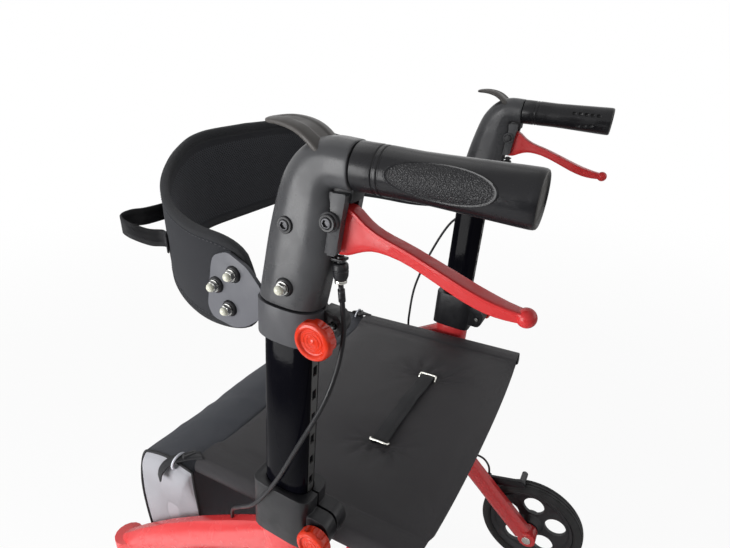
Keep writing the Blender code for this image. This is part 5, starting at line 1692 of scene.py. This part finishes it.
@dataclass
class Backrest:
    """The curved band behind the seat, the collars and plates that hold it, and the strap loop on it."""

    fastener: Fastener = field(default_factory=Fastener)
    body: str = "backrest_collar_left"
    half: float = 0.2502
    corner: float = 0.19
    centre_y: float = 0.008
    end_y: float = -0.024
    thick: float = 0.013
    swell: float = 0.003
    keep: float = 0.46
    stations: int = 150
    stitches: int = 150
    stitch: Point = (0.003, 0.0008, 0.0007)
    edges: Rows = (
        (0.0, 0.765, 0.808), (0.03, 0.754, 0.826), (0.09, 0.748, 0.837), (0.2, 0.748, 0.841),
        (0.35, 0.757, 0.85), (0.5, 0.766, 0.865), (0.65, 0.771, 0.883), (0.78, 0.772, 0.895),
        (1.0, 0.772, 0.898),
    )
    plate: tuple[Pair, ...] = (
        (-0.0355, 0.799), (-0.0215, 0.816), (-0.001, 0.8265), (0.015, 0.821), (0.019, 0.813),
        (0.029, 0.77), (0.024, 0.759), (-0.001, 0.754), (-0.016, 0.759), (-0.0355, 0.773),
    )
    bolts: tuple[Pair, ...] = ((-0.006, 0.807), (0.015, 0.793), (0.002, 0.773))
    collar: Pair = (0.229, 0.261)
    profile: tuple[Pair, ...] = (
        (0.0, 0.36), (0.01, 0.1), (0.03, 0.0), (0.07, 0.0), (0.08, 0.05), (0.09, 0.03), (0.3, 0.0),
        (0.5, 0.0), (0.7, 0.0), (0.91, 0.03), (0.92, 0.05), (0.93, 0.0), (0.97, 0.0), (0.99, 0.1),
        (1.0, 0.36), (0.99, 0.6), (0.97, 0.68), (0.93, 0.68), (0.915, 0.6), (0.89, 0.6), (0.84, 0.7),
        (0.78, 0.9), (0.68, 0.98), (0.5, 1.0), (0.32, 0.98), (0.22, 0.9), (0.16, 0.7), (0.11, 0.6),
        (0.085, 0.6), (0.07, 0.68), (0.03, 0.68), (0.01, 0.6),
    )
    strap_roots: tuple[Pair, ...] = ((147.0, 0.803), (141.0, 0.8035), (121.0, 0.818), (115.0, 0.818))
    strap_loop: tuple[Point, ...] = (
        (-0.2195, 0.1415, 0.806), (-0.232, 0.1555, 0.816), (-0.2285, 0.167, 0.82), (-0.2135, 0.17, 0.821),
        (-0.1975, 0.1665, 0.82),
    )

    def build(self) -> None:
        """Models the band, its strap, and both sides' collars."""
        self.model_band()
        self.model_strap()
        for side in Side:
            self.model_collar(side)

    def place_at(self, distance: float) -> tuple[Vector, Vector]:
        """Finds a point of the band's outer line in plan.

        Args:
            distance: the way from the band's middle, negative on the left.

        Returns:
            The point and the direction outwards, both in X and Y.
        """
        front = self.half - self.corner
        quarter = self.corner * math.pi / 2
        sign = 1 if distance >= 0 else -1
        way = abs(distance)
        if way < front:
            place, out = Vector((way, self.centre_y + self.corner)), Vector((0, 1))
        elif way < front + quarter:
            angle = (way - front) / self.corner
            out = Vector((math.sin(angle), math.cos(angle)))
            place = Vector((front, self.centre_y)) + out * self.corner
        else:
            place, out = Vector((self.half, self.centre_y - (way - front - quarter))), Vector((1, 0))
        return Vector((sign * place.x, place.y)), Vector((sign * out.x, out.y))

    def sewn(self, place: Vector) -> bool:
        """Whether a point of the band is held: all but the inner panel away from the two plates.

        Args:
            place: the point.

        Returns:
            True for a point that doesn't move.
        """
        out = math.hypot(abs(place.x) - (self.half - self.corner), place.y - self.centre_y)
        if place.y < self.centre_y:
            out = abs(place.x) - (self.half - self.corner)
        return place.y < 0.035 or out > self.corner - self.thick * 0.8

    @property
    def reach(self) -> float:
        """The way from the band's middle to either end."""
        return self.half - self.corner + self.corner * math.pi / 2 + self.centre_y - self.end_y

    def edges_at(self, share: float) -> Pair:
        """The band's lower and upper edge at a share of the way from its end.

        Args:
            share: 0 at the band's end and 1 at its middle.

        Returns:
            The heights of the two edges.
        """
        rows = self.fine_edges
        for (s0, low0, high0), (s1, low1, high1) in zip(rows, rows[1:]):
            if share <= s1:
                t = (share - s0) / (s1 - s0)
                return low0 + (low1 - low0) * t, high0 + (high1 - high0) * t
        return rows[-1][1:]

    @property
    def fine_edges(self) -> list[tuple[float, ...]]:
        """The edges' table with smooth steps between its rows."""
        return spline(self.edges, 6)

    def model_band(self) -> None:
        """Builds the band: cloth outside, mesh inside, bound all round, and crowned between its edges."""
        profile = self.profile
        rings, marks = [], []
        for i in range(self.stations + 1):
            way = self.reach * (2 * i / self.stations - 1)
            place, out = self.place_at(way)
            share = 1 - abs(way) / self.reach
            low, high = self.edges_at(share)
            thin = min(1.0, 0.45 + share * 18)
            ring = []
            for height, depth in profile:
                inward = self.thick * depth * thin
                ring.append((place.x - out.x * inward, place.y - out.y * inward, low + (high - low) * height))
            rings.append(ring)
            marks.append(way)
        heights = [profile[j % len(profile)][0] * 0.12 for j in range(len(profile) + 1)]
        band = woven_shell("backrest_band", rings, lambda i, j: (marks[i], heights[j]))
        band.data.materials.append(None)
        band.data.materials.append(PAD_MESH.material())
        band.data.materials.append(BINDING.material())
        for face in band.data.polygons:
            column = face.index % len(profile)
            if 20 <= column <= 26:
                face.material_index = 1
            elif column <= 3 or 10 <= column <= 18 or column >= 28:
                face.material_index = 2
        puff(band, 3.0, self.swell, self.sewn)
        deliver(band, PAD_CLOTH, self.body, ["backrest_pad"])
        crumple(band)
        for name, height in (("upper", 0.905), ("lower", 0.095)):
            self.model_stitches(name, height)

    def model_stitches(self, name: str, height: float) -> None:
        """Sews a row of raised stitches along the binding, on the band's outer side.

        Args:
            name: which row it is.
            height: its place between the band's edges, from 0 to 1.
        """
        seam = Shape(f"backrest_stitches_{name}")
        bpy.ops.mesh.primitive_cube_add(size=1.0)
        bpy.ops.transform.resize(value=self.stitch)
        seam.bevel(0.0002, 1, 60).leave()
        pattern = seam.made.data.copy()
        copies = []
        for i in range(self.stitches):
            way = self.reach * 0.985 * (2 * (i + 0.5) / self.stitches - 1)
            place, out = self.place_at(way)
            low, high = self.edges_at(1 - abs(way) / self.reach)
            ahead = Vector((out.y, -out.x, 0))
            turned = Matrix((ahead, Vector((out.x, out.y, 0)), Vector((0, 0, 1)))).transposed().to_4x4()
            x, y = place.x - out.x * 0.0001, place.y - out.y * 0.0001
            spot = Vector((x, y, low + (high - low) * height))
            if i:
                made = placed("stitch", pattern.copy())
                copies.append(made)
            else:
                made = seam.made
            made.data.transform(Matrix.Translation(spot) @ turned)
        for made in copies:
            made.select_set(True)
        bpy.ops.object.join()
        seam.enter()
        crumple(seam.finish(THREAD, self.body))

    def model_strap(self) -> None:
        """Folds the loop of webbing that is sewn to the band's front left corner."""
        away = self.corner + 0.0021
        roots = []
        for degrees, z in self.strap_roots:
            angle = math.radians(degrees)
            x = self.corner - self.half + away * math.cos(angle)
            roots.append((x, self.centre_y + away * math.sin(angle), z))
        route = spline(roots[:2] + list(self.strap_loop) + roots[2:], 6)
        strap = ribbon("backrest_loop", route, Vector((0, 0, 0.0095)), 0.0022)
        deliver(strap, STRAP_BLACK, self.body, ["backrest_strap"])
        crumple(strap)

    def model_collar(self, side: Side) -> None:
        """Models one side's grey shell with its plate and nuts, and the black shell with the lug.

        Args:
            side: the side.
        """
        word, s = side.word, side.value
        body = f"backrest_collar_{word}"
        low, high = self.collar
        post = Post(side)
        shell = Shape(f"collar_{word}").slab(post.outline(0.0053), low, high, "Z")
        bore = Shape("bore").slab(post.outline(0.0003), low - 0.01, high + 0.01, "Z")
        inner_half = rectangle(-s * 0.0005, -0.08, -s * 0.06, 0.08)
        away = Shape("away").slab(inner_half, low - 0.01, high + 0.01, "Z")
        shell.cut(bore, away).moved(side.post())
        face = s * (self.half + 0.0003)
        plate = Shape("plate").slab(self.plate, face, face + s * 0.004, "X", 0.0045)
        shell.join(plate).bevel(0.0008, 3, 40)
        shell.paint(COLLAR_GREY, lambda place, normal: place.y < -0.0345)
        shell.finish(PLATE_GREY, body, [f"backrest_collar_{word}"], 40)
        node = f"backrest_collar_inner_{word}"
        dress(f"collar_inner_{word}", node, BLACK_PLASTIC, body, (0.0008, 2, 40), 40)
        for i, centre in enumerate(self.bolts):
            self.fastener.cap_nut(f"plate_nut_{word}_{i}", side, 0.0045, centre, body)


@dataclass
class SideFrame:
    """One red side frame of oval tubes, with its saddle, bolts and brake arm."""

    side: Side

    def build(self) -> None:
        """Dresses the frame and the small pieces on it."""
        word = self.side.word
        body = f"frame_{word}"
        dress(f"frame_{word}_tubes", f"side_frame_{word}", FRAME_RED, body, (0.0012, 3, 35), 40)
        dress(f"saddle_{word}", f"rail_saddle_{word}", BLACK_PLASTIC, body, (0.001, 2, 40))
        for node in (f"brace_foot_bolt_{word}", f"rear_axle_{word}"):
            dress(f"{node}_piece", node, BRIGHT, body, (0.0005, 2, 40))
        arm = f"brake_arm_{word}"
        dress(f"{arm}_piece", arm, BLACK_PLASTIC, arm, (0.0008, 2, 40))


@dataclass
class Wheel:
    """A wheel: rubber tyre with grooves, moulded rim with windows, and a hub cap."""

    side: Side
    place: str
    x: float
    y: float
    radius: float
    half: float = 0.016
    height: float = 0.018
    hub: float = 0.02
    windows: int = 5
    tread: tuple[Pair, ...] = (
        (0.0, 0.0), (0.0022, 0.0), (0.003, 0.0018), (0.004, 0.0018), (0.0048, 0.0002), (0.0085, 0.0008),
        (0.0092, 0.0024), (0.01, 0.0026), (0.0108, 0.002), (0.0136, 0.0046), (0.0152, 0.0078),
    )

    def build(self) -> None:
        """Spins the tyre and the rim, and opens the rim's windows."""
        word = self.side.word
        body = f"{self.place}_wheel_{word}"
        centre = (self.x, self.y, self.radius)
        inner = self.radius - self.height
        bead = self.half * 0.55
        tread = [(x, self.radius - lower) for x, lower in self.tread]
        flank = [(self.half, inner + 0.007), (0.015, inner + 0.004), (bead + 0.002, inner + 0.0012),
                 (bead, inner), (0.0, inner)]
        tyre = Shape(f"tyre_{self.place}_{word}").turned(both_sides(tread + flank), centre, "X", 96)
        tyre.finish(TYRE_BLACK, body, [f"{self.place}_tyre_{word}"], 50)
        seat = inner - 0.0003
        half = bead + 0.0015
        right = [(0.0, seat), (half - 0.001, seat), (half, seat - 0.001), (half, seat - 0.003),
                 (half - 0.003, seat - 0.008), (0.004, seat - 0.01), (0.0034, self.hub + 0.006),
                 (0.005, self.hub + 0.0035), (0.0165, self.hub - 0.002), (0.017, self.hub - 0.003),
                 (0.017, 0.0125), (0.0155, 0.012), (0.0155, 0.0059), (0.0, 0.0059)]
        rim = Shape(f"rim_{self.place}_{word}").turned(both_sides(right), centre, "X", 80)
        reach = (seat - 0.009 + self.hub + 0.004) / 2
        window = (seat - 0.009 - self.hub) / 2 - 0.006
        rows = ((-0.02, 0.0), (-0.02, window), (0.02, window), (0.02, 0.0))
        tools = []
        for k in range(self.windows):
            angle = 2 * math.pi * (k + 0.25) / self.windows
            spot = (self.x, self.y + reach * math.cos(angle), self.radius + reach * math.sin(angle))
            tools.append(Shape("window").turned(rows, spot, "X", 36))
        rim.cut(*tools).bevel(0.0008, 2, 45)
        rim.finish(RIM_BLACK, body, [f"{self.place}_rim_{word}"], 40)


@dataclass
class Caster:
    """The front fork that swivels in the frame's head."""

    side: Side

    def build(self) -> None:
        """Rounds the fork's edges and dresses its axle."""
        word = self.side.word
        body = f"caster_{word}"
        dress(f"fork_{word}", f"caster_fork_{word}", BLACK_PLASTIC, body, (0.0022, 3, 40), 40)
        axle = f"front_axle_{word}"
        dress(f"{axle}_piece", axle, BRIGHT, body, (0.0006, 2, 40))


@dataclass
class FoldingBrace:
    """The crossed bars with the seat rails on their upper ends."""

    rail: tuple[Pair, ...] = (
        (-0.175, 0.0), (-0.175, 0.0062), (-0.1735, 0.0078), (-0.1715, 0.008), (-0.171, 0.0092),
        (-0.1705, 0.01), (0.1155, 0.01), (0.116, 0.0092), (0.1165, 0.008), (0.1185, 0.0078),
        (0.12, 0.0062), (0.12, 0.0),
    )

    def build(self) -> None:
        """Rounds the bars' edges, and turns the rails and their plugs."""
        for node, body in (("cross_brace_a", "brace_a"), ("cross_brace_b", "brace_b")):
            dress(f"{node}_bar", node, FRAME_RED, body, (0.0016, 3, 35))
        dress("brace_bolt_piece", "brace_bolt", BRIGHT, "brace_a", (0.0005, 2, 40))
        for side, body in ((Side.LEFT, "brace_b"), (Side.RIGHT, "brace_a")):
            rail = Shape(f"rail_{side.word}")
            rail.turned(self.rail, (side.value * RAIL_X, 0.0, RAIL_Z), "Y", 36)
            rail.finish(TUBE_BLACK, body, [f"seat_rail_{side.word}"], 40)


@dataclass
class Seat:
    """The padded nylon seat between the rails, with the lifting strap across it."""

    rear: float = -0.1737
    front: float = 0.1184
    wrap: float = 0.01085
    cloth: float = 0.0022
    pad: float = 0.012
    sag: float = 0.006
    margin: float = 0.025
    bulge: float = 0.0065
    roll: float = 0.026
    drop: float = 0.008
    swell: float = 0.0035
    seam_depth: float = 0.0013
    seam_width: float = 0.0022
    fold_start: float = 0.014
    fold_reach: float = 0.026
    fold_height: float = 0.0034
    dip_width: float = 0.011
    dip_depth: float = 0.0014
    stations: int = 96
    across: int = 120
    strap_x: float = 0.0825
    strap_y: Pair = (-0.0757, -0.0507)
    wire: float = 0.0015

    def height(self, x: float) -> float:
        """The seat's top at an X, between the rails."""
        share = min(1.0, abs(x) / (RAIL_X - 0.01))
        return RAIL_Z + self.wrap + self.cloth - self.sag * (1 - share**4)

    def crease(self, x: float, y: float) -> float:
        """The height of the soft folds that run out from the strap's ends, with the dips where these pull.

        Args:
            x: the place across the seat.
            y: the place along it.

        Returns:
            How far the cloth stands over the plain seat.
        """
        swell = noise.noise(Vector((x * 8, y * 12, 0.3))) * 0.0014
        folds = 0.0
        for end in (-self.strap_x, self.strap_x):
            for side_y in self.strap_y:
                away = math.hypot(x - end, y - side_y)
                angle = math.atan2(y - side_y, (x - end) * math.copysign(1.0, end))
                open_side = 0.5 + 0.5 * math.cos(angle)
                ray = abs(math.sin(angle * 4.5 + side_y * 90)) - 0.6
                fade = math.exp(-((away - self.fold_start) / self.fold_reach) ** 2)
                folds += ray * open_side * fade * self.fold_height
                folds -= math.exp(-((away / self.dip_width) ** 2)) * self.dip_depth
        return swell + folds

    def build(self) -> None:
        """Models the seat, sews its border and lays the strap with its wire loops."""
        self.model_panel()
        self.model_strap()

    def model_panel(self) -> None:
        """Builds the seat as one closed shell with its map."""
        angles = [math.radians(-15 + 100 * k / 9) for k in range(10)]
        inner = [(self.wrap * math.cos(a), self.wrap * math.sin(a)) for a in angles]
        thick = self.wrap + self.cloth
        outer = [(thick * math.cos(a), thick * math.sin(a)) for a in angles]
        reach = RAIL_X - 0.01
        flat = [reach * (1 - 2 * k / self.across) for k in range(self.across + 1)]
        padded = RAIL_X - self.margin
        rings = []
        places = []
        for i in range(self.stations + 1):
            share = i / self.stations
            y = self.rear + (self.front - self.rear) * (0.5 - 0.5 * math.cos(math.pi * share))
            edge = max(0.0, min(y - self.rear, self.front - y))
            rest = 1 - min(1.0, edge / self.roll)
            drop = self.drop * (1 - math.sqrt(max(0.0, 1 - rest * rest)))
            tops, bottoms = [], []
            for x in flat:
                inside = min(1.0, max(0.0, (padded - abs(x)) / 0.014))
                seam = self.seam_depth * math.exp(-((abs(x) - padded) / self.seam_width) ** 2)
                shoulder = min(1.0, max(0.0, (padded - abs(x)) / 0.045))
                line = y - self.bulge * (1 - (x / RAIL_X) ** 2) * (1 - share) ** 2
                level = self.height(x)
                top = level - drop * inside - seam + self.crease(x, y) * inside * (1 - rest * rest)
                tops.append((x, line, top))
                depth = self.cloth + (self.pad - self.cloth) * shoulder * (1 - rest * rest * 0.6)
                bottoms.append((x, line, level - max(depth, drop * inside + self.cloth * 0.7)))
            ring = [(RAIL_X + a, y, RAIL_Z + b) for a, b in outer] + tops
            ring += [(-RAIL_X - a, y, RAIL_Z + b) for a, b in reversed(outer)]
            ring += [(-RAIL_X - a, y, RAIL_Z + b) for a, b in inner] + bottoms[::-1]
            ring += [(RAIL_X + a, y, RAIL_Z + b) for a, b in reversed(inner)]
            rings.append(ring)
            places.append(y)
        columns = girth(rings[0])
        seat = woven_shell("seat_cover", rings, lambda i, j: (columns[j], places[i]))
        puff(seat, 2.5, self.swell, self.sewn)
        deliver(seat, SEAT_NYLON, "", ["seat_panel"])
        span_rails(seat)

    def sewn(self, place: Vector) -> bool:
        """Whether a point of the seat is held: at the rails, in the seams, below, and beside the strap.

        Args:
            place: the point.

        Returns:
            True for a point that doesn't move.
        """
        if abs(place.x) > RAIL_X - self.margin or place.z < self.height(place.x) - self.pad * 0.55:
            return True
        beside = self.strap_y[0] - 0.004 < place.y < self.strap_y[1] + 0.004
        return beside and abs(abs(place.x) - self.strap_x) < 0.006

    def model_strap(self) -> None:
        """Lays the webbing strap across the seat, and bends a wire loop round each end."""
        middle = sum(self.strap_y) / 2
        half = (self.strap_y[1] - self.strap_y[0]) / 2
        end = self.strap_x
        route = [(-end - 0.003, middle, self.height(end) - 0.003)]
        for k in range(31):
            x = end * (k / 15 - 1)
            arch = 0.0034 * (1 - (x / end) ** 2) + 0.0008 * math.sin(x * 95)
            route.append((x, middle, self.height(x) + 0.003 + arch))
        route.append((end + 0.003, middle, self.height(end) - 0.003))
        strap = ribbon("lift_webbing", route, Vector((0, half - 0.0015, 0)), 0.0018)
        deliver(strap, STRAP_BLACK, "", ["lift_strap"])
        span_rails(strap)
        for word, sign in (("left", -1), ("right", 1)):
            x = sign * (self.strap_x + 0.004)
            base = self.height(x)
            root, leg, bend = x - sign * 0.007, x - sign * 0.0045, x - sign * 0.0012
            low, high = middle - half - 0.0005, middle + half + 0.0005
            wire = [(root, low, base - 0.003), (leg, low, base + 0.0022), (bend, low + 0.0004, base + 0.0038),
                    (x, low + 0.0022, base + 0.004), (x, middle, base + 0.0042),
                    (x, high - 0.0022, base + 0.004), (bend, high - 0.0004, base + 0.0038),
                    (leg, high, base + 0.0022), (root, high, base - 0.003)]
            loop = tube(f"strap_wire_{word}", spline(wire, 5), self.wire)
            deliver(loop, BRIGHT, "")
            span_rails(loop)


@dataclass
class Bag:
    """The storage bag in front of the seat: a sagging shell with pale ends, piping and straps."""

    half: float = 0.23
    sag: float = 0.012
    middle: Pair = (0.17, 0.41)
    top: float = 0.438
    rise: float = 0.06
    bulge: float = 0.0115
    swell: float = 0.005
    keep: float = 0.42
    fold_height: float = 0.0032
    ridge_height: float = 0.004
    steps: int = 88
    section: tuple[Pair, ...] = (
        (0.1203, 0.508), (0.16, 0.513), (0.196, 0.508), (0.21, 0.499), (0.223, 0.465), (0.229, 0.42),
        (0.226, 0.365), (0.214, 0.318), (0.19, 0.293), (0.15, 0.288), (0.125, 0.308), (0.118, 0.35),
        (0.118, 0.42), (0.1205, 0.48),
    )
    cap_rings: tuple[Pair, ...] = (
        (0.0, 0.975), (0.35, 0.94), (0.6, 0.88), (0.8, 0.76), (0.92, 0.6), (0.98, 0.4), (1.0, 0.2),
    )
    webbing: tuple[Point, ...] = (
        (0.216, 0.116, 0.5245), (0.22, 0.126, 0.523), (0.2262, 0.137, 0.5205), (0.2335, 0.148, 0.5175),
        (0.24, 0.1565, 0.5105), (0.244, 0.162, 0.501), (0.2455, 0.165, 0.49),
    )

    def puffed(self, x: float, y: float, z: float, size: float, soft: float = 1.0) -> Point:
        """A point of the shell, shrunk about the section's middle, sagged and creased.

        Args:
            x: the place across the bag.
            y: the section's Y.
            z: the section's Z.
            size: the share of the section's size.
            soft: the share of the creases.

        Returns:
            The point.
        """
        share = x / self.half
        inner = min(1.0, abs(share))
        low = max(0.0, min(1.0, (self.middle[1] + 0.06 - z) / 0.12))
        folds = noise.noise(Vector((share * 3.1, y * 14, z * 14))) * self.fold_height * soft
        ridge = abs(noise.noise(Vector((share * 7.0 + y * 18, z * 9, 4.2)))) * self.ridge_height * soft
        grow = size * (1 + (folds - ridge) / 0.1 * 0.5)
        away_y, away_z = y - self.middle[0], z - self.middle[1]
        height = self.middle[1] + away_z * grow - self.sag * (1 - inner**2) * low
        return (x, self.middle[0] + away_y * grow, height)

    def build(self) -> None:
        """Models the bag's shell and puts its trim on it."""
        fine = spline([*self.section, self.section[0]], 5)[:-1]
        rings, marks = [], []
        for share, size in reversed(self.cap_rings):
            rings.append(self.cap(fine, -1, share, size))
            marks.append(-self.half - (1 - size) * 0.1)
        for i in range(self.steps + 1):
            x = self.half * (2 * i / self.steps - 1)
            rings.append([self.puffed(x, y, z, 1.0) for y, z in fine])
            marks.append(x)
        for share, size in self.cap_rings:
            rings.append(self.cap(fine, 1, share, size))
            marks.append(self.half + (1 - size) * 0.1)
        columns = girth(rings[len(rings) // 2])
        bag = woven_shell("bag_body", rings, lambda i, j: (columns[j], marks[i]))
        bag.data.materials.append(None)
        bag.data.materials.append(BAG_PANEL.material())
        for face in bag.data.polygons:
            if abs(face.center.x) > self.half - 0.0005:
                face.material_index = 1
        puff(bag, 2.0, self.swell, lambda place: abs(place.x) > self.half - 0.004 or place.y < 0.126)
        deliver(bag, BAG_NYLON, "frame_left", ["storage_bag"])
        crumple(bag)
        for side in Side:
            self.pipe(side, fine)
            self.hang(side)

    def cap(self, fine: Sequence[Pair], sign: int, share: float, size: float) -> list[Point]:
        """One ring of an end panel, which bulges outwards over the frame's tube.

        Args:
            fine: the section's points.
            sign: the side, -1 or 1.
            share: the way from the seam to the panel's middle.
            size: the share of the section's size.

        Returns:
            The ring's points.
        """
        ring = []
        for y, z in fine:
            level = self.middle[1] + (z - self.middle[1]) * size
            high = max(0.0, min(1.0, (level - self.top) / self.rise))
            x, away_y, height = self.puffed(sign * self.half, y, z, size, 1 - share)
            swollen = self.bulge * high * high * (3 - 2 * high)
            ring.append((x + sign * share * (0.0012 + swollen), away_y, height))
        return ring

    def trim(self, made: bpy.types.Object, look: Finish) -> None:
        """Gives a piece of the bag's trim its finish and body, and its own copy of its mesh."""
        deliver(made, look, "frame_left")
        crumple(made)

    def pipe(self, side: Side, fine: Sequence[Pair]) -> None:
        """Runs black piping round the seam between the shell and its end panel.

        Args:
            side: the side of the panel.
            fine: the section's points.
        """
        x = side.value * (self.half + 0.0002)
        route = [self.puffed(x, y, z, 0.992) for y, z in fine]
        self.trim(tube(f"bag_piping_{side.word}", route + route[:1], 0.0019, 8), STRAP_BLACK)

    def hang(self, side: Side) -> None:
        """Hangs the bag's corner from the rail's end with webbing, a pale ring and a black slide.

        Args:
            side: the side of the corner.
        """
        s, word = side.value, side.word
        route = spline([(s * x, y, z) for x, y, z in self.webbing], 5)
        tab = ribbon(f"bag_webbing_{word}", route, Vector((s * -0.004, 0.0068, 0.0)), 0.002)
        self.trim(tab, STRAP_BLACK)
        arc = []
        for k in range(29):
            c, h = math.cos(2 * math.pi * k / 28), math.sin(2 * math.pi * k / 28)
            arc.append((s * (0.229 + 0.01 * c), 0.145 - 0.002 * h, 0.513 + 0.01 * h))
        self.trim(tube(f"bag_ring_{word}", arc, 0.0017, 10), RING_PALE)
        slide = Shape(f"bag_slide_{word}")
        slide.slab(rectangle(-0.0085, -0.0055, 0.0085, 0.0055), 0.0, 0.0045, "Z", 0.002)
        hole = Shape("hole").slab(rectangle(-0.0055, -0.0022, 0.0055, 0.0022), -0.01, 0.01, "Z")
        slide.cut(hole).bevel(0.0006, 2, 40)
        place = Matrix.Translation((s * 0.221, 0.133, 0.519))
        slide.moved(place @ Matrix.Rotation(s * 0.55, 4, "Z") @ Matrix.Rotation(-0.35, 4, "X"))
        crumple(slide.finish(BLACK_PLASTIC, "frame_left"))


def main() -> None:
    """Builds the studio, the cables and each sub-assembly in order."""
    logging.basicConfig(level=logging.INFO, format="%(message)s")
    Studio().build()
    cables = Cables()
    for side in Side:
        cables.build(side)
    for side in Side:
        Handle(side).build()
        Post(side).build()
        Knob(side, f"height_knob_{side.word}", -0.046, 0.029, 0.018).build()
        Knob(side, f"backrest_knob_{side.word}", -0.0385, 0.249, 0.017).build()
        SideFrame(side).build()
        Wheel(side, "front", side.x(), 0.208, 0.127).build()
        Wheel(side, "rear", side.value * 0.2835, -0.235, 0.1).build()
        Caster(side).build()
    Backrest().build()
    FoldingBrace().build()
    Seat().build()
    Bag().build()


if __name__ == "__main__":
    main()
